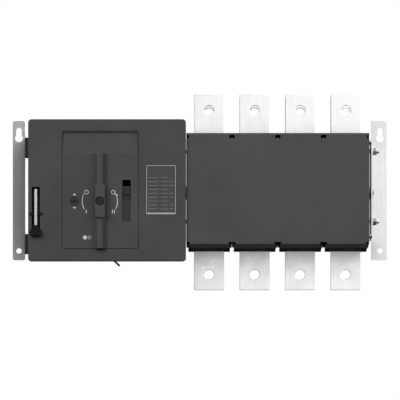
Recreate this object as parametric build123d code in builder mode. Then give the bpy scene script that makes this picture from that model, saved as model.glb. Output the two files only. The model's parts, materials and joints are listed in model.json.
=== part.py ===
from build123d import *
import math
import os

os.makedirs("parts", exist_ok=True)

# Four-pole transfer switch: a hand mechanism on the left drives two switches
# that lie one behind the other in each pole. X points right, Y points to the
# mounting panel and Z points up. The origin is the centre of the four mounting
# holes, on the mounting plane. Depths are "reach": millimetres in front of
# that plane, so a point at reach r has y = -r.

# Driving dimensions, millimetres and degrees
POLES = 4
POLE_PITCH = 65.0
POLE_HALF_HEIGHT = 81.7
REAR_SWITCH_REACH = 104.0
SWITCH_SPACING = 86.0
CHAMBER_REACH = 42.0
AXIS_DROP = 9.0
WALL = 3.0
FACE_GAP = 0.2
SEAT_GAP = 0.3
EASE = 0.6

# Mounting feet
FOOT_HEIGHT = 200.0
FOOT_WIDTH = 18.0
FOOT_HOLE_PITCH = 173.0
FOOT_HOLE_RADIUS = 3.8
KEYHOLE_RADIUS = 5.5
KEYHOLE_DROP = 11.3
SHEET = 2.0
LEG_GAP = 6.6
LEG_WIDTH = 22.0
LEG_HEIGHT = 27.0
LEG_RISE = 69.0
RIGHT_HOLE_OFFSET = 13.0
RIGHT_FOOT_EDGE = 9.6
BRACKET_TOP = 72.0
BRACKET_BOTTOM = 63.5
BRACKET_REACH = 208.0
LIP_LENGTH = 112.0
END_GAP = 2.9

# Mechanism cover and housing
COVER_WIDTH = 224.0
COVER_HALF_HEIGHT = 101.0
COVER_FRONT = 245.0
COVER_DEPTH = 61.0
COVER_CORNER = 5.0
COVER_RIM_DEPTH = 11.0
COVER_STEP = 4.0
HOUSING_BACK = 62.0
HOUSING_FRONT = 222.0
COVER_TO_POLES = 0.5

# Inset panel
PANEL_LEFT = 47.7
PANEL_WIDTH = 109.6
PANEL_TOP = 84.7
PANEL_BOTTOM = 83.4
PANEL_CORNER = 4.3
PANEL_RIM = 4.0
SINK_BOTTOM = 52.0
SINK_DEPTH = 3.2
SINK_FLOOR = 2.5
SINK_RIM = 0.8

# Handle and spindle
HANDLE_FROM_LEFT = 101.9
HANDLE_DROP = 15.5
HANDLE_LENGTH = 135.0
HANDLE_BASE = 16.4
HANDLE_TOP = 7.2
HANDLE_HEIGHT = 9.0
BLOCK_LENGTH = 47.6
BLOCK_TOP = 13.6
BLOCK_HEIGHT = 12.0
HUB_RECESS_RADIUS = 6.4
HUB_RECESS_DEPTH = 4.5
SPINDLE_RADIUS = 6.0
SPINDLE_FLAT = 4.6
SPINDLE_IN_HANDLE = 5.5

# Drive: pinion, rack and sector gears
MODULE = 2.0
PRESSURE_ANGLE = 20.0
PINION_TEETH = 22
RACK_THICKNESS = 16.0
BACKLASH = 0.3
GEAR_FACE = 12.0
PINION_FACE = 14.0
SECTOR_SIDE_TEETH = 6
HANDLE_SWING = 70.0

# Rotors
SHAFT_RADIUS = 8.0
SHAFT_FLAT = 6.0
SHAFT_TIP_RADIUS = 3.6
SHAFT_TIP_PROUD = 2.0
RUNNING_FIT = 0.05
BLADE_LENGTH = 60.0
BLADE_WIDTH = 14.0
BLADE_THICKNESS = 4.0
BLADE_SPACING = 8.0
BLADES_PER_POLE = 4
BLADE_HUB_RADIUS = 13.0
SLEEVE_RADIUS = 11.4
BUSH_WALL = 2.5
FLANGE_RISE = 2.0
FLANGE_THICKNESS = 1.5

# Terminals and contacts
BAR_WIDTH = 43.0
BAR_THICKNESS = 6.0
BAR_REACH = 139.3
LOAD_BAR_REACH = 136.2
BAR_HOLE_FROM_END = 22.1
BAR_HOLE_RADIUS = 7.0
BAR_SETBACK = 30.0
CROSSBAR_Z = 62.0
PAD_THICKNESS = 2.7
PAD_HEIGHT = 12.0
PAD_WIDTH = 34.0
CONTACT_GAP = 0.3
LEG_PAST_PAD = 4.0

# Poles
BARRIER_SLOT = 5.5
SLOT_DEPTH = 6.7
SLOT_FRONT_WALL = 12.0
SEAM_LAP = 2.0
POLE_COVER_THICKNESS = 8.0
POLE_COVER_BEVEL = 5.8
ARC_PLATES = 5
ARC_FIRST = 20.0
ARC_LAST = 54.0
ARC_RADIUS = 40.0
ARC_PLATE_DEPTH = 12.0
ARC_PLATE_THICKNESS = 1.5

# Fasteners
ROD_RADIUS = 3.0
ROD_RISE = 50.0
ROD_CLEARANCE = 0.3
NUT_FLATS = 10.0
NUT_THICKNESS = 5.0
ROD_PROUD = 1.4
ROD_PROUD_RIGHT = 3.4
WASHER_RADIUS = 6.0
WASHER_THICKNESS = 1.2
SCREW_RADIUS = 2.5
SCREW_HEAD_RADIUS = 4.6

# Places that follow from the driving dimensions
axis_z = -AXIS_DROP
hole_pitch_x = (
    FOOT_WIDTH / 2
    + LEG_GAP
    + COVER_WIDTH
    + COVER_TO_POLES
    + POLES * POLE_PITCH
    + END_GAP
    + SHEET
    + RIGHT_HOLE_OFFSET
)
left_hole_x = -hole_pitch_x / 2
right_hole_x = hole_pitch_x / 2
foot_inner_x = left_hole_x + FOOT_WIDTH / 2
cover_left = foot_inner_x + LEG_GAP
cover_right = cover_left + COVER_WIDTH
poles_left = cover_right + COVER_TO_POLES
poles_right = poles_left + POLES * POLE_PITCH
bracket_x = poles_right + END_GAP
bracket_out = bracket_x + SHEET
handle_x = cover_left + HANDLE_FROM_LEFT
handle_z = axis_z - HANDLE_DROP
front_switch_reach = REAR_SWITCH_REACH + SWITCH_SPACING
middle_reach = (REAR_SWITCH_REACH + front_switch_reach) / 2
shell_back = REAR_SWITCH_REACH - CHAMBER_REACH
shell_front = front_switch_reach + CHAMBER_REACH - FACE_GAP
pole_cover_back = shell_front + FACE_GAP
pole_cover_front = pole_cover_back + POLE_COVER_THICKNESS
pole_centres = [poles_left + POLE_PITCH * (i + 0.5) for i in range(POLES)]
switch_reaches = [front_switch_reach, REAR_SWITCH_REACH]
rod_heights = [ROD_RISE, -ROD_RISE]

gear_teeth = int((SWITCH_SPACING - RACK_THICKNESS) / MODULE)
gear_radius = gear_teeth * MODULE / 2
pinion_radius = PINION_TEETH * MODULE / 2
rack_half = SWITCH_SPACING / 2 - gear_radius
rotor_swing = HANDLE_SWING * PINION_TEETH / gear_teeth
rack_travel = math.radians(HANDLE_SWING) * pinion_radius
tooth_pitch = math.pi * MODULE
addendum = MODULE
dedendum = 1.25 * MODULE

housing_left = cover_left + WALL + FACE_GAP
inner_plate_x = cover_right - WALL
housing_right = inner_plate_x - FACE_GAP
body_half_height = COVER_HALF_HEIGHT - COVER_STEP
housing_half_height = body_half_height - WALL - FACE_GAP
cover_back = COVER_FRONT - COVER_DEPTH
panel_x = cover_left + PANEL_LEFT + PANEL_WIDTH / 2
panel_z = axis_z + (PANEL_TOP - PANEL_BOTTOM) / 2
panel_height = PANEL_TOP + PANEL_BOTTOM

inner_plate_front = shell_front - WALL
inner_plate_half = POLE_HALF_HEIGHT - 1.0

rack_line_x = handle_x + pinion_radius
gear_left = rack_line_x + GEAR_FACE
gear_right = gear_left + GEAR_FACE
rack_right = gear_right + 3.0
bulkhead_x = rack_right + 5.0


def span(low, high):
    """The middle and the length of a stretch."""
    return (low + high) / 2, high - low


def block(x, reach, z, mode=Mode.ADD):
    """A box between two x values, two reaches and two z values."""
    mid_x, size_x = span(*x)
    mid_r, size_r = span(*reach)
    mid_z, size_z = span(*z)
    with Locations((mid_x, -mid_r, mid_z)):
        Box(size_x, size_r, size_z, mode=mode)


def crosswise(x, reach, z, angle=0.0):
    """A plane facing +X, its local x turned from +Y by an angle about +X."""
    turn = math.radians(angle)
    return Plane(
        origin=(x, -reach, z),
        x_dir=(0, math.cos(turn), math.sin(turn)),
        z_dir=(1, 0, 0),
    )


def rod_along_x(x, reach, z, radius, mode=Mode.ADD):
    """A round bar or bore along X between two x values."""
    with BuildSketch(crosswise(x[0], reach, z)) as section:
        Circle(radius)
    extrude(section.sketch, amount=x[1] - x[0], mode=mode)


def rod_along_y(x, reach, z, radius, mode=Mode.ADD):
    """A round bar or bore along Y between two reaches."""
    with BuildSketch(Plane.XZ.offset(reach[0])) as section:
        with Locations((x, z)):
            Circle(radius)
    extrude(section.sketch, amount=reach[1] - reach[0], mode=mode)


def rod_along_z(x, reach, z, radius, mode=Mode.ADD):
    """A round bar or bore along Z between two heights."""
    with BuildSketch(Plane.XY.offset(z[0])) as section:
        with Locations((x, -reach)):
            Circle(radius)
    extrude(section.sketch, amount=z[1] - z[0], mode=mode)


def double_flat(radius, half_flat, mode=Mode.ADD):
    """A round section with two parallel flats, in the current sketch."""
    half_chord = math.sqrt(radius**2 - half_flat**2)
    top_angle = math.degrees(math.atan2(half_flat, half_chord))
    with BuildLine() as outline:
        Line((-half_chord, half_flat), (half_chord, half_flat))
        CenterArc((0, 0), radius, top_angle, -2 * top_angle)
        Line((half_chord, -half_flat), (-half_chord, -half_flat))
        CenterArc((0, 0), radius, 180 + top_angle, -2 * top_angle)
    make_face(outline.edges(), mode=mode)


def involute(angle):
    """The involute of an angle in radians."""
    return math.tan(angle) - angle


def tooth_outline(teeth):
    """One gear tooth pointing along +X, with sampled involute flanks."""
    pitch_r = teeth * MODULE / 2
    pressure = math.radians(PRESSURE_ANGLE)
    base_r = pitch_r * math.cos(pressure)
    root_r = pitch_r - dedendum
    tip_r = pitch_r + addendum
    start_r = max(base_r, root_r)
    half_at_pitch = (tooth_pitch / 2 - BACKLASH) / (2 * pitch_r)
    steps = 4
    radii = [root_r - MODULE / 4]
    radii += [start_r + (tip_r - start_r) * k / steps for k in range(steps + 1)]
    points = []
    for radius in radii:
        local = math.acos(min(1.0, base_r / max(radius, start_r)))
        half = half_at_pitch + involute(pressure) - involute(local)
        points.append((radius * math.cos(half), radius * math.sin(half)))
    mirrored = [(x, -y) for x, y in reversed(points)]
    return points + mirrored


def gear_teeth_at(teeth, angles, mode=Mode.ADD):
    """Teeth of one gear at the given angles, in the current sketch."""
    for angle in angles:
        with Locations(Location((0, 0, 0), (0, 0, 1), angle)):
            Polygon(*tooth_outline(teeth), align=None, mode=mode)


# ---------------------------------------------------------------------------
# Mounting feet
# ---------------------------------------------------------------------------
key_top_z = FOOT_HOLE_PITCH / 2
key_bottom_z = key_top_z - KEYHOLE_DROP
lower_hole_z = -FOOT_HOLE_PITCH / 2
leg_heights = [axis_z + LEG_RISE, axis_z - LEG_RISE]


def foot_holes(x):
    """A keyhole above and a round hole below, through a foot at x."""
    with BuildSketch(Plane.XZ) as holes:
        with Locations((x, lower_hole_z), (x, key_top_z)):
            Circle(FOOT_HOLE_RADIUS)
        with Locations((x, key_bottom_z)):
            Circle(KEYHOLE_RADIUS)
        with Locations((x, (key_top_z + key_bottom_z) / 2)):
            Rectangle(2 * FOOT_HOLE_RADIUS, key_top_z - key_bottom_z)
    extrude(holes.sketch, amount=SHEET, mode=Mode.SUBTRACT)


with BuildPart() as left_foot:
    with BuildSketch(Plane.XZ):
        with Locations((left_hole_x, 0)):
            RectangleRounded(FOOT_WIDTH, FOOT_HEIGHT, 3.0)
        for leg_z in leg_heights:
            with Locations((foot_inner_x - 2 + (LEG_WIDTH + 2) / 2, leg_z)):
                Rectangle(LEG_WIDTH + 2, LEG_HEIGHT)
    extrude(amount=SHEET)
    foot_holes(left_hole_x)
    for leg_z in leg_heights:
        rod_along_y(foot_inner_x + LEG_WIDTH / 2, (0, SHEET), leg_z, SCREW_HEAD_RADIUS + 0.2,
                    Mode.SUBTRACT)
left_foot.part.label = "left_foot"
export_step(left_foot.part, "parts/left_foot.step")

bush_radius = SHAFT_TIP_RADIUS + 2.4
with BuildPart() as right_bracket:
    block((bracket_x, bracket_out), (0, BRACKET_REACH),
          (axis_z - BRACKET_BOTTOM, axis_z + BRACKET_TOP))
    for lip_z in (axis_z + BRACKET_TOP - SHEET, axis_z - BRACKET_BOTTOM):
        block((poles_right + SEAT_GAP, bracket_x), (BRACKET_REACH - LIP_LENGTH, BRACKET_REACH),
              (lip_z, lip_z + SHEET))
    with BuildSketch(Plane.XZ):
        foot_right = right_hole_x + RIGHT_FOOT_EDGE
        with Locations(((bracket_x + foot_right) / 2, 0)):
            RectangleRounded(foot_right - bracket_x, FOOT_HEIGHT, 3.0)
        with Locations((bracket_x + SHEET / 2, 0)):
            Rectangle(SHEET, BRACKET_TOP - AXIS_DROP)
    extrude(amount=SHEET)
    block((bracket_x - 1, bracket_out), (-1, SHEET + 1),
          (axis_z + BRACKET_TOP, FOOT_HEIGHT), Mode.SUBTRACT)
    block((bracket_x - 1, bracket_out), (-1, SHEET + 1),
          (-FOOT_HEIGHT, axis_z - BRACKET_BOTTOM), Mode.SUBTRACT)
    foot_holes(right_hole_x)
    for rod_z in rod_heights:
        rod_along_x((bracket_x, bracket_out), middle_reach, rod_z, ROD_RADIUS + ROD_CLEARANCE,
                    Mode.SUBTRACT)
    for reach in switch_reaches:
        rod_along_x((bracket_x, bracket_out), reach, axis_z, bush_radius + RUNNING_FIT,
                    Mode.SUBTRACT)
right_bracket.part.label = "right_bracket"
export_step(right_bracket.part, "parts/right_bracket.step")

# ---------------------------------------------------------------------------
# Mechanism housing, inner plate, cover and panel
# ---------------------------------------------------------------------------
cover_screw_xs = [cover_left + 40.0, cover_right - 40.0]
cover_screw_reach = cover_back + 14.0
window_radius = SHAFT_RADIUS + 12.0
housing_z = (axis_z - housing_half_height, axis_z + housing_half_height)
frame_screw_spots = [
    (handle_x - 24.0, handle_z),
    (bulkhead_x + 12.0, axis_z + 50.0),
    (bulkhead_x + 12.0, axis_z - 50.0),
]

with BuildPart() as mechanism_housing:
    block((housing_left, housing_right), (HOUSING_BACK, HOUSING_FRONT), housing_z)
    vertical = mechanism_housing.part.edges().filter_by(Axis.Y)
    fillet(vertical, COVER_CORNER - WALL)
    block((housing_left + WALL, housing_right - WALL), (HOUSING_BACK + WALL, HOUSING_FRONT),
          (housing_z[0] + WALL, housing_z[1] - WALL), Mode.SUBTRACT)
    for leg_z in leg_heights:
        block((foot_inner_x, foot_inner_x + LEG_WIDTH), (SHEET, HOUSING_BACK),
              (leg_z - LEG_HEIGHT / 2, leg_z + LEG_HEIGHT / 2))
        rod_along_y(foot_inner_x + LEG_WIDTH / 2, (SHEET, SHEET + 20), leg_z,
                    SCREW_RADIUS + RUNNING_FIT, Mode.SUBTRACT)
    for reach in switch_reaches:
        rod_along_x((housing_right - WALL, housing_right), reach, axis_z, window_radius,
                    Mode.SUBTRACT)
    for rod_z in rod_heights:
        rod_along_x((housing_right - WALL, housing_right), middle_reach, rod_z,
                    ROD_RADIUS + ROD_CLEARANCE, Mode.SUBTRACT)
    for screw_x in cover_screw_xs:
        rod_along_z(screw_x, cover_screw_reach, housing_z, SCREW_RADIUS + RUNNING_FIT,
                    Mode.SUBTRACT)
    for spot_x, spot_z in frame_screw_spots:
        rod_along_y(spot_x, (HOUSING_BACK, HOUSING_BACK + WALL), spot_z,
                    SCREW_RADIUS + RUNNING_FIT, Mode.SUBTRACT)
mechanism_housing.part.label = "mechanism_housing"
export_step(mechanism_housing.part, "parts/mechanism_housing.step")

journal_bush_radius = SHAFT_RADIUS + BUSH_WALL
with BuildPart() as inner_plate:
    block((inner_plate_x, cover_right), (shell_back, inner_plate_front),
          (axis_z - inner_plate_half, axis_z + inner_plate_half))
    for reach in switch_reaches:
        rod_along_x((inner_plate_x, cover_right), reach, axis_z,
                    journal_bush_radius + RUNNING_FIT, Mode.SUBTRACT)
    for rod_z in rod_heights:
        rod_along_x((inner_plate_x, cover_right), middle_reach, rod_z,
                    ROD_RADIUS + ROD_CLEARANCE, Mode.SUBTRACT)
inner_plate.part.label = "inner_plate"
export_step(inner_plate.part, "parts/inner_plate.step")

key_x = cover_left + 10.9
key_slot_width = 12.0
key_slot_z = (axis_z - 65.0, axis_z + 4.8)
key_pocket_depth = 16.0
lever_x = handle_x + 10.5
lever_z = axis_z - body_half_height + WALL + 3.4
lever_slot = 20.0
lever_pin_radius = 1.5
lever_reach = COVER_FRONT - 17.0
lever_half_length = 2.4
lug_thickness = 2.5
face_back = COVER_FRONT - WALL

with BuildPart() as front_cover:
    cover_z = (axis_z - COVER_HALF_HEIGHT, axis_z + COVER_HALF_HEIGHT)
    body_z = (axis_z - body_half_height, axis_z + body_half_height)
    block((cover_left, cover_right), (COVER_FRONT - COVER_RIM_DEPTH, COVER_FRONT), cover_z)
    fillet(front_cover.part.edges().filter_by(Axis.Y), COVER_CORNER)
    fillet(front_cover.part.faces().sort_by(Axis.Y)[0].edges(), 1.5)
    block((cover_left, cover_right), (cover_back, COVER_FRONT - COVER_RIM_DEPTH), body_z)
    block((cover_left + WALL, cover_right - WALL), (cover_back, face_back),
          (body_z[0] + WALL, body_z[1] - WALL), Mode.SUBTRACT)
    # window in the right wall for the inner plate
    block((inner_plate_x - 1, cover_right), (cover_back, inner_plate_front + FACE_GAP),
          (axis_z - inner_plate_half - FACE_GAP, axis_z + inner_plate_half + FACE_GAP),
          Mode.SUBTRACT)
    # key pocket
    pocket_wall = 1.6
    block((key_x - key_slot_width / 2 - pocket_wall, key_x + key_slot_width / 2 + pocket_wall),
          (COVER_FRONT - key_pocket_depth - pocket_wall, face_back),
          (key_slot_z[0] - pocket_wall, key_slot_z[1] + pocket_wall))
    block((key_x - key_slot_width / 2, key_x + key_slot_width / 2),
          (COVER_FRONT - key_pocket_depth, COVER_FRONT), key_slot_z, Mode.SUBTRACT)
    # lugs and slot of the release lever
    for lug_reach in (lever_reach - lever_half_length - lug_thickness - 0.2,
                      lever_reach + lever_half_length + 0.2):
        block((lever_x - 3.5, lever_x + 3.5), (lug_reach, lug_reach + lug_thickness),
              (body_z[0] + WALL / 2, lever_z + 3.5))
    block((lever_x - lever_slot / 2, lever_x + lever_slot / 2),
          (lever_reach - lever_half_length - 0.2, lever_reach + lever_half_length + 0.2),
          (body_z[0] - 1, body_z[0] + WALL + 0.5), Mode.SUBTRACT)
    rod_along_y(lever_x, (lever_reach - 6, lever_reach + 6), lever_z,
                lever_pin_radius + RUNNING_FIT, Mode.SUBTRACT)
    for rib_x in (lever_x - lever_slot / 2 - 1.4, lever_x + lever_slot / 2 + 1.4):
        block((rib_x - 1.4, rib_x + 1.4), (lever_reach - 6, lever_reach + 5),
              (body_z[0] - 0.6, body_z[0] + 1))
    # opening for the inset panel
    with BuildSketch(Plane.XZ.offset(face_back)):
        with Locations((panel_x, panel_z)):
            RectangleRounded(PANEL_WIDTH, panel_height, PANEL_CORNER)
    extrude(amount=WALL, mode=Mode.SUBTRACT)
    for screw_x in cover_screw_xs:
        rod_along_z(screw_x, cover_screw_reach, body_z, SCREW_RADIUS + RUNNING_FIT,
                    Mode.SUBTRACT)
        for side, z in ((1, body_z[1]), (-1, body_z[0])):
            with Locations(Location((screw_x, -cover_screw_reach, z), (1, 0, 0), 90 - 90 * side)):
                with Locations((0, 0, -(SCREW_HEAD_RADIUS - SCREW_RADIUS) / 2)):
                    Cone(SCREW_RADIUS, SCREW_HEAD_RADIUS,
                         SCREW_HEAD_RADIUS - SCREW_RADIUS, mode=Mode.SUBTRACT)
front_cover.part.label = "front_cover"
export_step(front_cover.part, "parts/front_cover.step")

slider_x = cover_left + 139.7
slider_size = (10.4, 20.2)
slider_travel = 8.5
slider_play = 0.4
slider_slot = (12.0, slider_size[1] + slider_travel + 2 * slider_play)
slider_z = axis_z
slider_track_length = 30.0
slider_track_depth = 1.4
barrel_x = cover_left + 65.9
barrel_z = handle_z
barrel_radius = 6.2
panel_bush_radius = SPINDLE_RADIUS + 2.0

with BuildPart() as front_panel:
    with BuildSketch(Plane.XZ.offset(face_back - FACE_GAP)):
        with Locations((panel_x, panel_z)):
            RectangleRounded(PANEL_WIDTH - 2 * EASE, panel_height - 2 * EASE, PANEL_CORNER - EASE)
    extrude(amount=WALL + FACE_GAP)
    chamfer(front_panel.part.faces().sort_by(Axis.Y)[0].edges(), 0.4)
    with BuildSketch(Plane.XZ.offset(face_back - FACE_GAP)):
        with Locations((panel_x, panel_z)):
            RectangleRounded(PANEL_WIDTH + 2 * PANEL_RIM, panel_height + 2 * PANEL_RIM, PANEL_CORNER)
    extrude(amount=-2.0)
    # finger recess: deepest at the panel's top edge, it rises to flush at its lower end
    sink_left = panel_x - PANEL_WIDTH / 2 + EASE
    sink_right = panel_x + PANEL_WIDTH / 2 - EASE
    sink_top = axis_z + PANEL_TOP - EASE
    sink_end = axis_z + SINK_BOTTOM
    block((sink_left, sink_right), (COVER_FRONT - SINK_DEPTH - SINK_FLOOR, face_back - FACE_GAP),
          (sink_end, sink_top))
    with BuildSketch(Plane.YZ.offset(sink_left + SINK_RIM)) as wedge:
        with BuildLine():
            Polyline((-COVER_FRONT, sink_end), (-COVER_FRONT - 1, sink_end),
                     (-COVER_FRONT - 1, sink_top - SINK_RIM),
                     (-COVER_FRONT + SINK_DEPTH, sink_top - SINK_RIM), close=True)
        make_face()
    extrude(amount=sink_right - sink_left - 2 * SINK_RIM, mode=Mode.SUBTRACT)
    # slider slot with its shallow track, barrel hole and spindle bush hole
    with BuildSketch(Plane.XZ.offset(face_back - 5)):
        with Locations((slider_x, slider_z)):
            RectangleRounded(*slider_slot, 1.0)
    extrude(amount=WALL + 6, mode=Mode.SUBTRACT)
    track_top = slider_z - slider_slot[1] / 2
    block((slider_x - slider_slot[0] / 2, slider_x + slider_slot[0] / 2),
          (COVER_FRONT - slider_track_depth, COVER_FRONT + 1),
          (track_top - slider_track_length, track_top + 1), Mode.SUBTRACT)
    rod_along_y(barrel_x, (face_back - 5, COVER_FRONT + 1), barrel_z,
                barrel_radius + SEAT_GAP, Mode.SUBTRACT)
    rod_along_y(handle_x, (face_back - 5, COVER_FRONT + 1), handle_z,
                panel_bush_radius + RUNNING_FIT, Mode.SUBTRACT)
front_panel.part.label = "front_panel"
export_step(front_panel.part, "parts/front_panel.step")
panel_back = face_back - FACE_GAP - 2.0

label_left = cover_right - 56.6
label_size = (42.6, 70.3)
with BuildPart() as label_plate:
    with BuildSketch(Plane.XZ.offset(COVER_FRONT)):
        with Locations((label_left + label_size[0] / 2, axis_z + 0.6)):
            RectangleRounded(*label_size, 0.8)
    extrude(amount=0.4)
label_plate.part.label = "label_plate"
export_step(label_plate.part, "parts/label_plate.step")

# ---------------------------------------------------------------------------
# Handle, spindle and its bearings
# ---------------------------------------------------------------------------
handle_back = COVER_FRONT + EASE
handle_front = handle_back + HANDLE_HEIGHT
block_front = handle_back + BLOCK_HEIGHT
spindle_front = handle_back + SPINDLE_IN_HANDLE
spindle_back = middle_reach - PINION_FACE / 2 - 12.0
bridge_reach = (spindle_back + 2.0, spindle_back + 5.0)

with BuildPart() as operating_handle:
    with BuildSketch(Plane.XY.offset(handle_z - HANDLE_LENGTH / 2)):
        with BuildLine():
            Polyline((handle_x - HANDLE_BASE / 2, -handle_back),
                     (handle_x + HANDLE_BASE / 2, -handle_back),
                     (handle_x + HANDLE_BASE / 2, -handle_back - 2.0),
                     (handle_x + HANDLE_TOP / 2, -handle_front),
                     (handle_x - HANDLE_TOP / 2, -handle_front),
                     (handle_x - HANDLE_BASE / 2, -handle_back - 2.0), close=True)
        make_face()
    extrude(amount=HANDLE_LENGTH)
    ends = operating_handle.part.faces().filter_by(Axis.Z).edges()
    chamfer(ends.filter_by(Axis.X).group_by(Axis.Y)[0], 1.0)
    with BuildSketch(Plane.XZ.offset(handle_back)):
        with Locations((handle_x, handle_z)):
            RectangleRounded(HANDLE_BASE, BLOCK_LENGTH, 1.0)
    with BuildSketch(Plane.XZ.offset(block_front)):
        with Locations((handle_x, handle_z)):
            RectangleRounded(BLOCK_TOP, BLOCK_LENGTH - 1.5, 1.0)
    loft()
    rod_along_y(handle_x, (block_front - HUB_RECESS_DEPTH, block_front + 1), handle_z,
                HUB_RECESS_RADIUS, Mode.SUBTRACT)
    rod_along_y(handle_x, (spindle_front, block_front), handle_z, SCREW_RADIUS + 0.2,
                Mode.SUBTRACT)
    with BuildSketch(Plane.XZ.offset(handle_back)):
        with Locations((handle_x, handle_z)):
            Rectangle(2 * SPINDLE_FLAT + 0.1, 2 * SPINDLE_FLAT + 0.1)
    extrude(amount=SPINDLE_IN_HANDLE, mode=Mode.SUBTRACT)
operating_handle.part.label = "operating_handle"
export_step(operating_handle.part, "parts/operating_handle.step")

screw_seat = block_front - HUB_RECESS_DEPTH
with BuildPart() as handle_screw:
    rod_along_y(handle_x, (spindle_front + 0.1, screw_seat), handle_z, SCREW_RADIUS)
    rod_along_y(handle_x, (screw_seat, screw_seat + 3.2), handle_z, SCREW_HEAD_RADIUS)
    with BuildSketch(Plane.XZ.offset(screw_seat + 1.2)):
        with Locations((handle_x, handle_z)):
            RegularPolygon(2.3, 6)
    extrude(amount=3, mode=Mode.SUBTRACT)
handle_screw.part.label = "handle_screw"
export_step(handle_screw.part, "parts/handle_screw.step")

pinion_reach = (middle_reach - PINION_FACE / 2, middle_reach + PINION_FACE / 2)
with BuildPart() as spindle:
    rod_along_y(handle_x, (spindle_back, handle_back), handle_z, SPINDLE_RADIUS)
    with BuildSketch(Plane.XZ.offset(handle_back)):
        with Locations((handle_x, handle_z)):
            Rectangle(2 * SPINDLE_FLAT, 2 * SPINDLE_FLAT)
    extrude(amount=SPINDLE_IN_HANDLE)
    for side in (1, -1):
        block((handle_x + side * (SPINDLE_FLAT + 2) - 2, handle_x + side * (SPINDLE_FLAT + 2) + 2),
              pinion_reach, (handle_z - 8, handle_z + 8), Mode.SUBTRACT)
spindle.part.label = "spindle"
export_step(spindle.part, "parts/spindle.step")

with BuildPart() as spindle_pinion:
    with BuildSketch(Plane.XZ.offset(pinion_reach[0] + 0.1)):
        with Locations((handle_x, handle_z)):
            Circle(pinion_radius - dedendum)
        for k in range(PINION_TEETH):
            with Locations(Location((handle_x, handle_z, 0), (0, 0, 1), 360 * k / PINION_TEETH)):
                Polygon(*tooth_outline(PINION_TEETH), align=None)
        with Locations((handle_x, handle_z)):
            Circle(SPINDLE_RADIUS + RUNNING_FIT, mode=Mode.SUBTRACT)
    extrude(amount=PINION_FACE - 0.2)
    for side in (1, -1):
        flat_x = handle_x + side * (SPINDLE_FLAT + 1.6)
        block((flat_x - 1.5, flat_x + 1.5), (pinion_reach[0] + 0.1, pinion_reach[1] - 0.1),
              (handle_z - 3, handle_z + 3))
spindle_pinion.part.label = "spindle_pinion"
export_step(spindle_pinion.part, "parts/spindle_pinion.step")

with BuildPart() as panel_bush:
    rod_along_y(handle_x, (panel_back, COVER_FRONT), handle_z, panel_bush_radius)
    rod_along_y(handle_x, (panel_back - 2.0, panel_back), handle_z, panel_bush_radius + 3.0)
    rod_along_y(handle_x, (panel_back - 3, COVER_FRONT + 1), handle_z,
                SPINDLE_RADIUS + RUNNING_FIT, Mode.SUBTRACT)
panel_bush.part.label = "panel_bush"
export_step(panel_bush.part, "parts/panel_bush.step")

floor_reach = HOUSING_BACK + WALL
bridge_x = (handle_x - 30.0, handle_x + 19.0)
with BuildPart() as spindle_bridge:
    block((handle_x - 17.0, bridge_x[1]), bridge_reach, (handle_z - 15, handle_z + 15))
    block((handle_x - 17.0, handle_x - 14.0), (floor_reach, bridge_reach[1]),
          (handle_z - 15, handle_z + 15))
    block((bridge_x[1] - 3.0, bridge_x[1]), (floor_reach, bridge_reach[1]),
          (handle_z - 15, handle_z + 15))
    block((bridge_x[0], handle_x - 14.0), (floor_reach, floor_reach + 3),
          (handle_z - 15, handle_z + 15))
    rod_along_y(handle_x, bridge_reach, handle_z, SPINDLE_RADIUS + RUNNING_FIT, Mode.SUBTRACT)
    rod_along_y(frame_screw_spots[0][0], (floor_reach, floor_reach + 3), handle_z,
                SCREW_RADIUS + RUNNING_FIT, Mode.SUBTRACT)
spindle_bridge.part.label = "spindle_bridge"
export_step(spindle_bridge.part, "parts/spindle_bridge.step")

# ---------------------------------------------------------------------------
# Rack, sector gears and their bulkhead
# ---------------------------------------------------------------------------
rail_half_width = 2.5
rail_depth = 4.5
rail_gap = 0.2
rack_bottom = handle_z - rack_travel - 2 * tooth_pitch
rack_top = axis_z + rack_travel + 2 * tooth_pitch
rail_z = (rack_bottom - rack_travel, rack_top + rack_travel)


def tooth_gaps(middle, low, high):
    """The heights of the rack's tooth gaps between two heights, one of them at the middle."""
    first = math.ceil((low - middle) / tooth_pitch)
    last = math.floor((high - middle) / tooth_pitch)
    return [middle + k * tooth_pitch for k in range(first, last + 1)]


def gap_outline(flip):
    """One rack tooth gap that opens along +x, or along -x when flipped."""
    slope = math.tan(math.radians(PRESSURE_ANGLE))
    half_tooth = tooth_pitch / 4 - BACKLASH / 2
    half_gap = tooth_pitch / 2 - half_tooth
    outer = half_gap + (addendum + 0.5) * slope
    inner = half_gap - dedendum * slope
    points = [(addendum + 0.5, outer), (addendum + 0.5, -outer),
              (-dedendum, -inner), (-dedendum, inner)]
    return [(-x, y) for x, y in points] if flip else points


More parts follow.
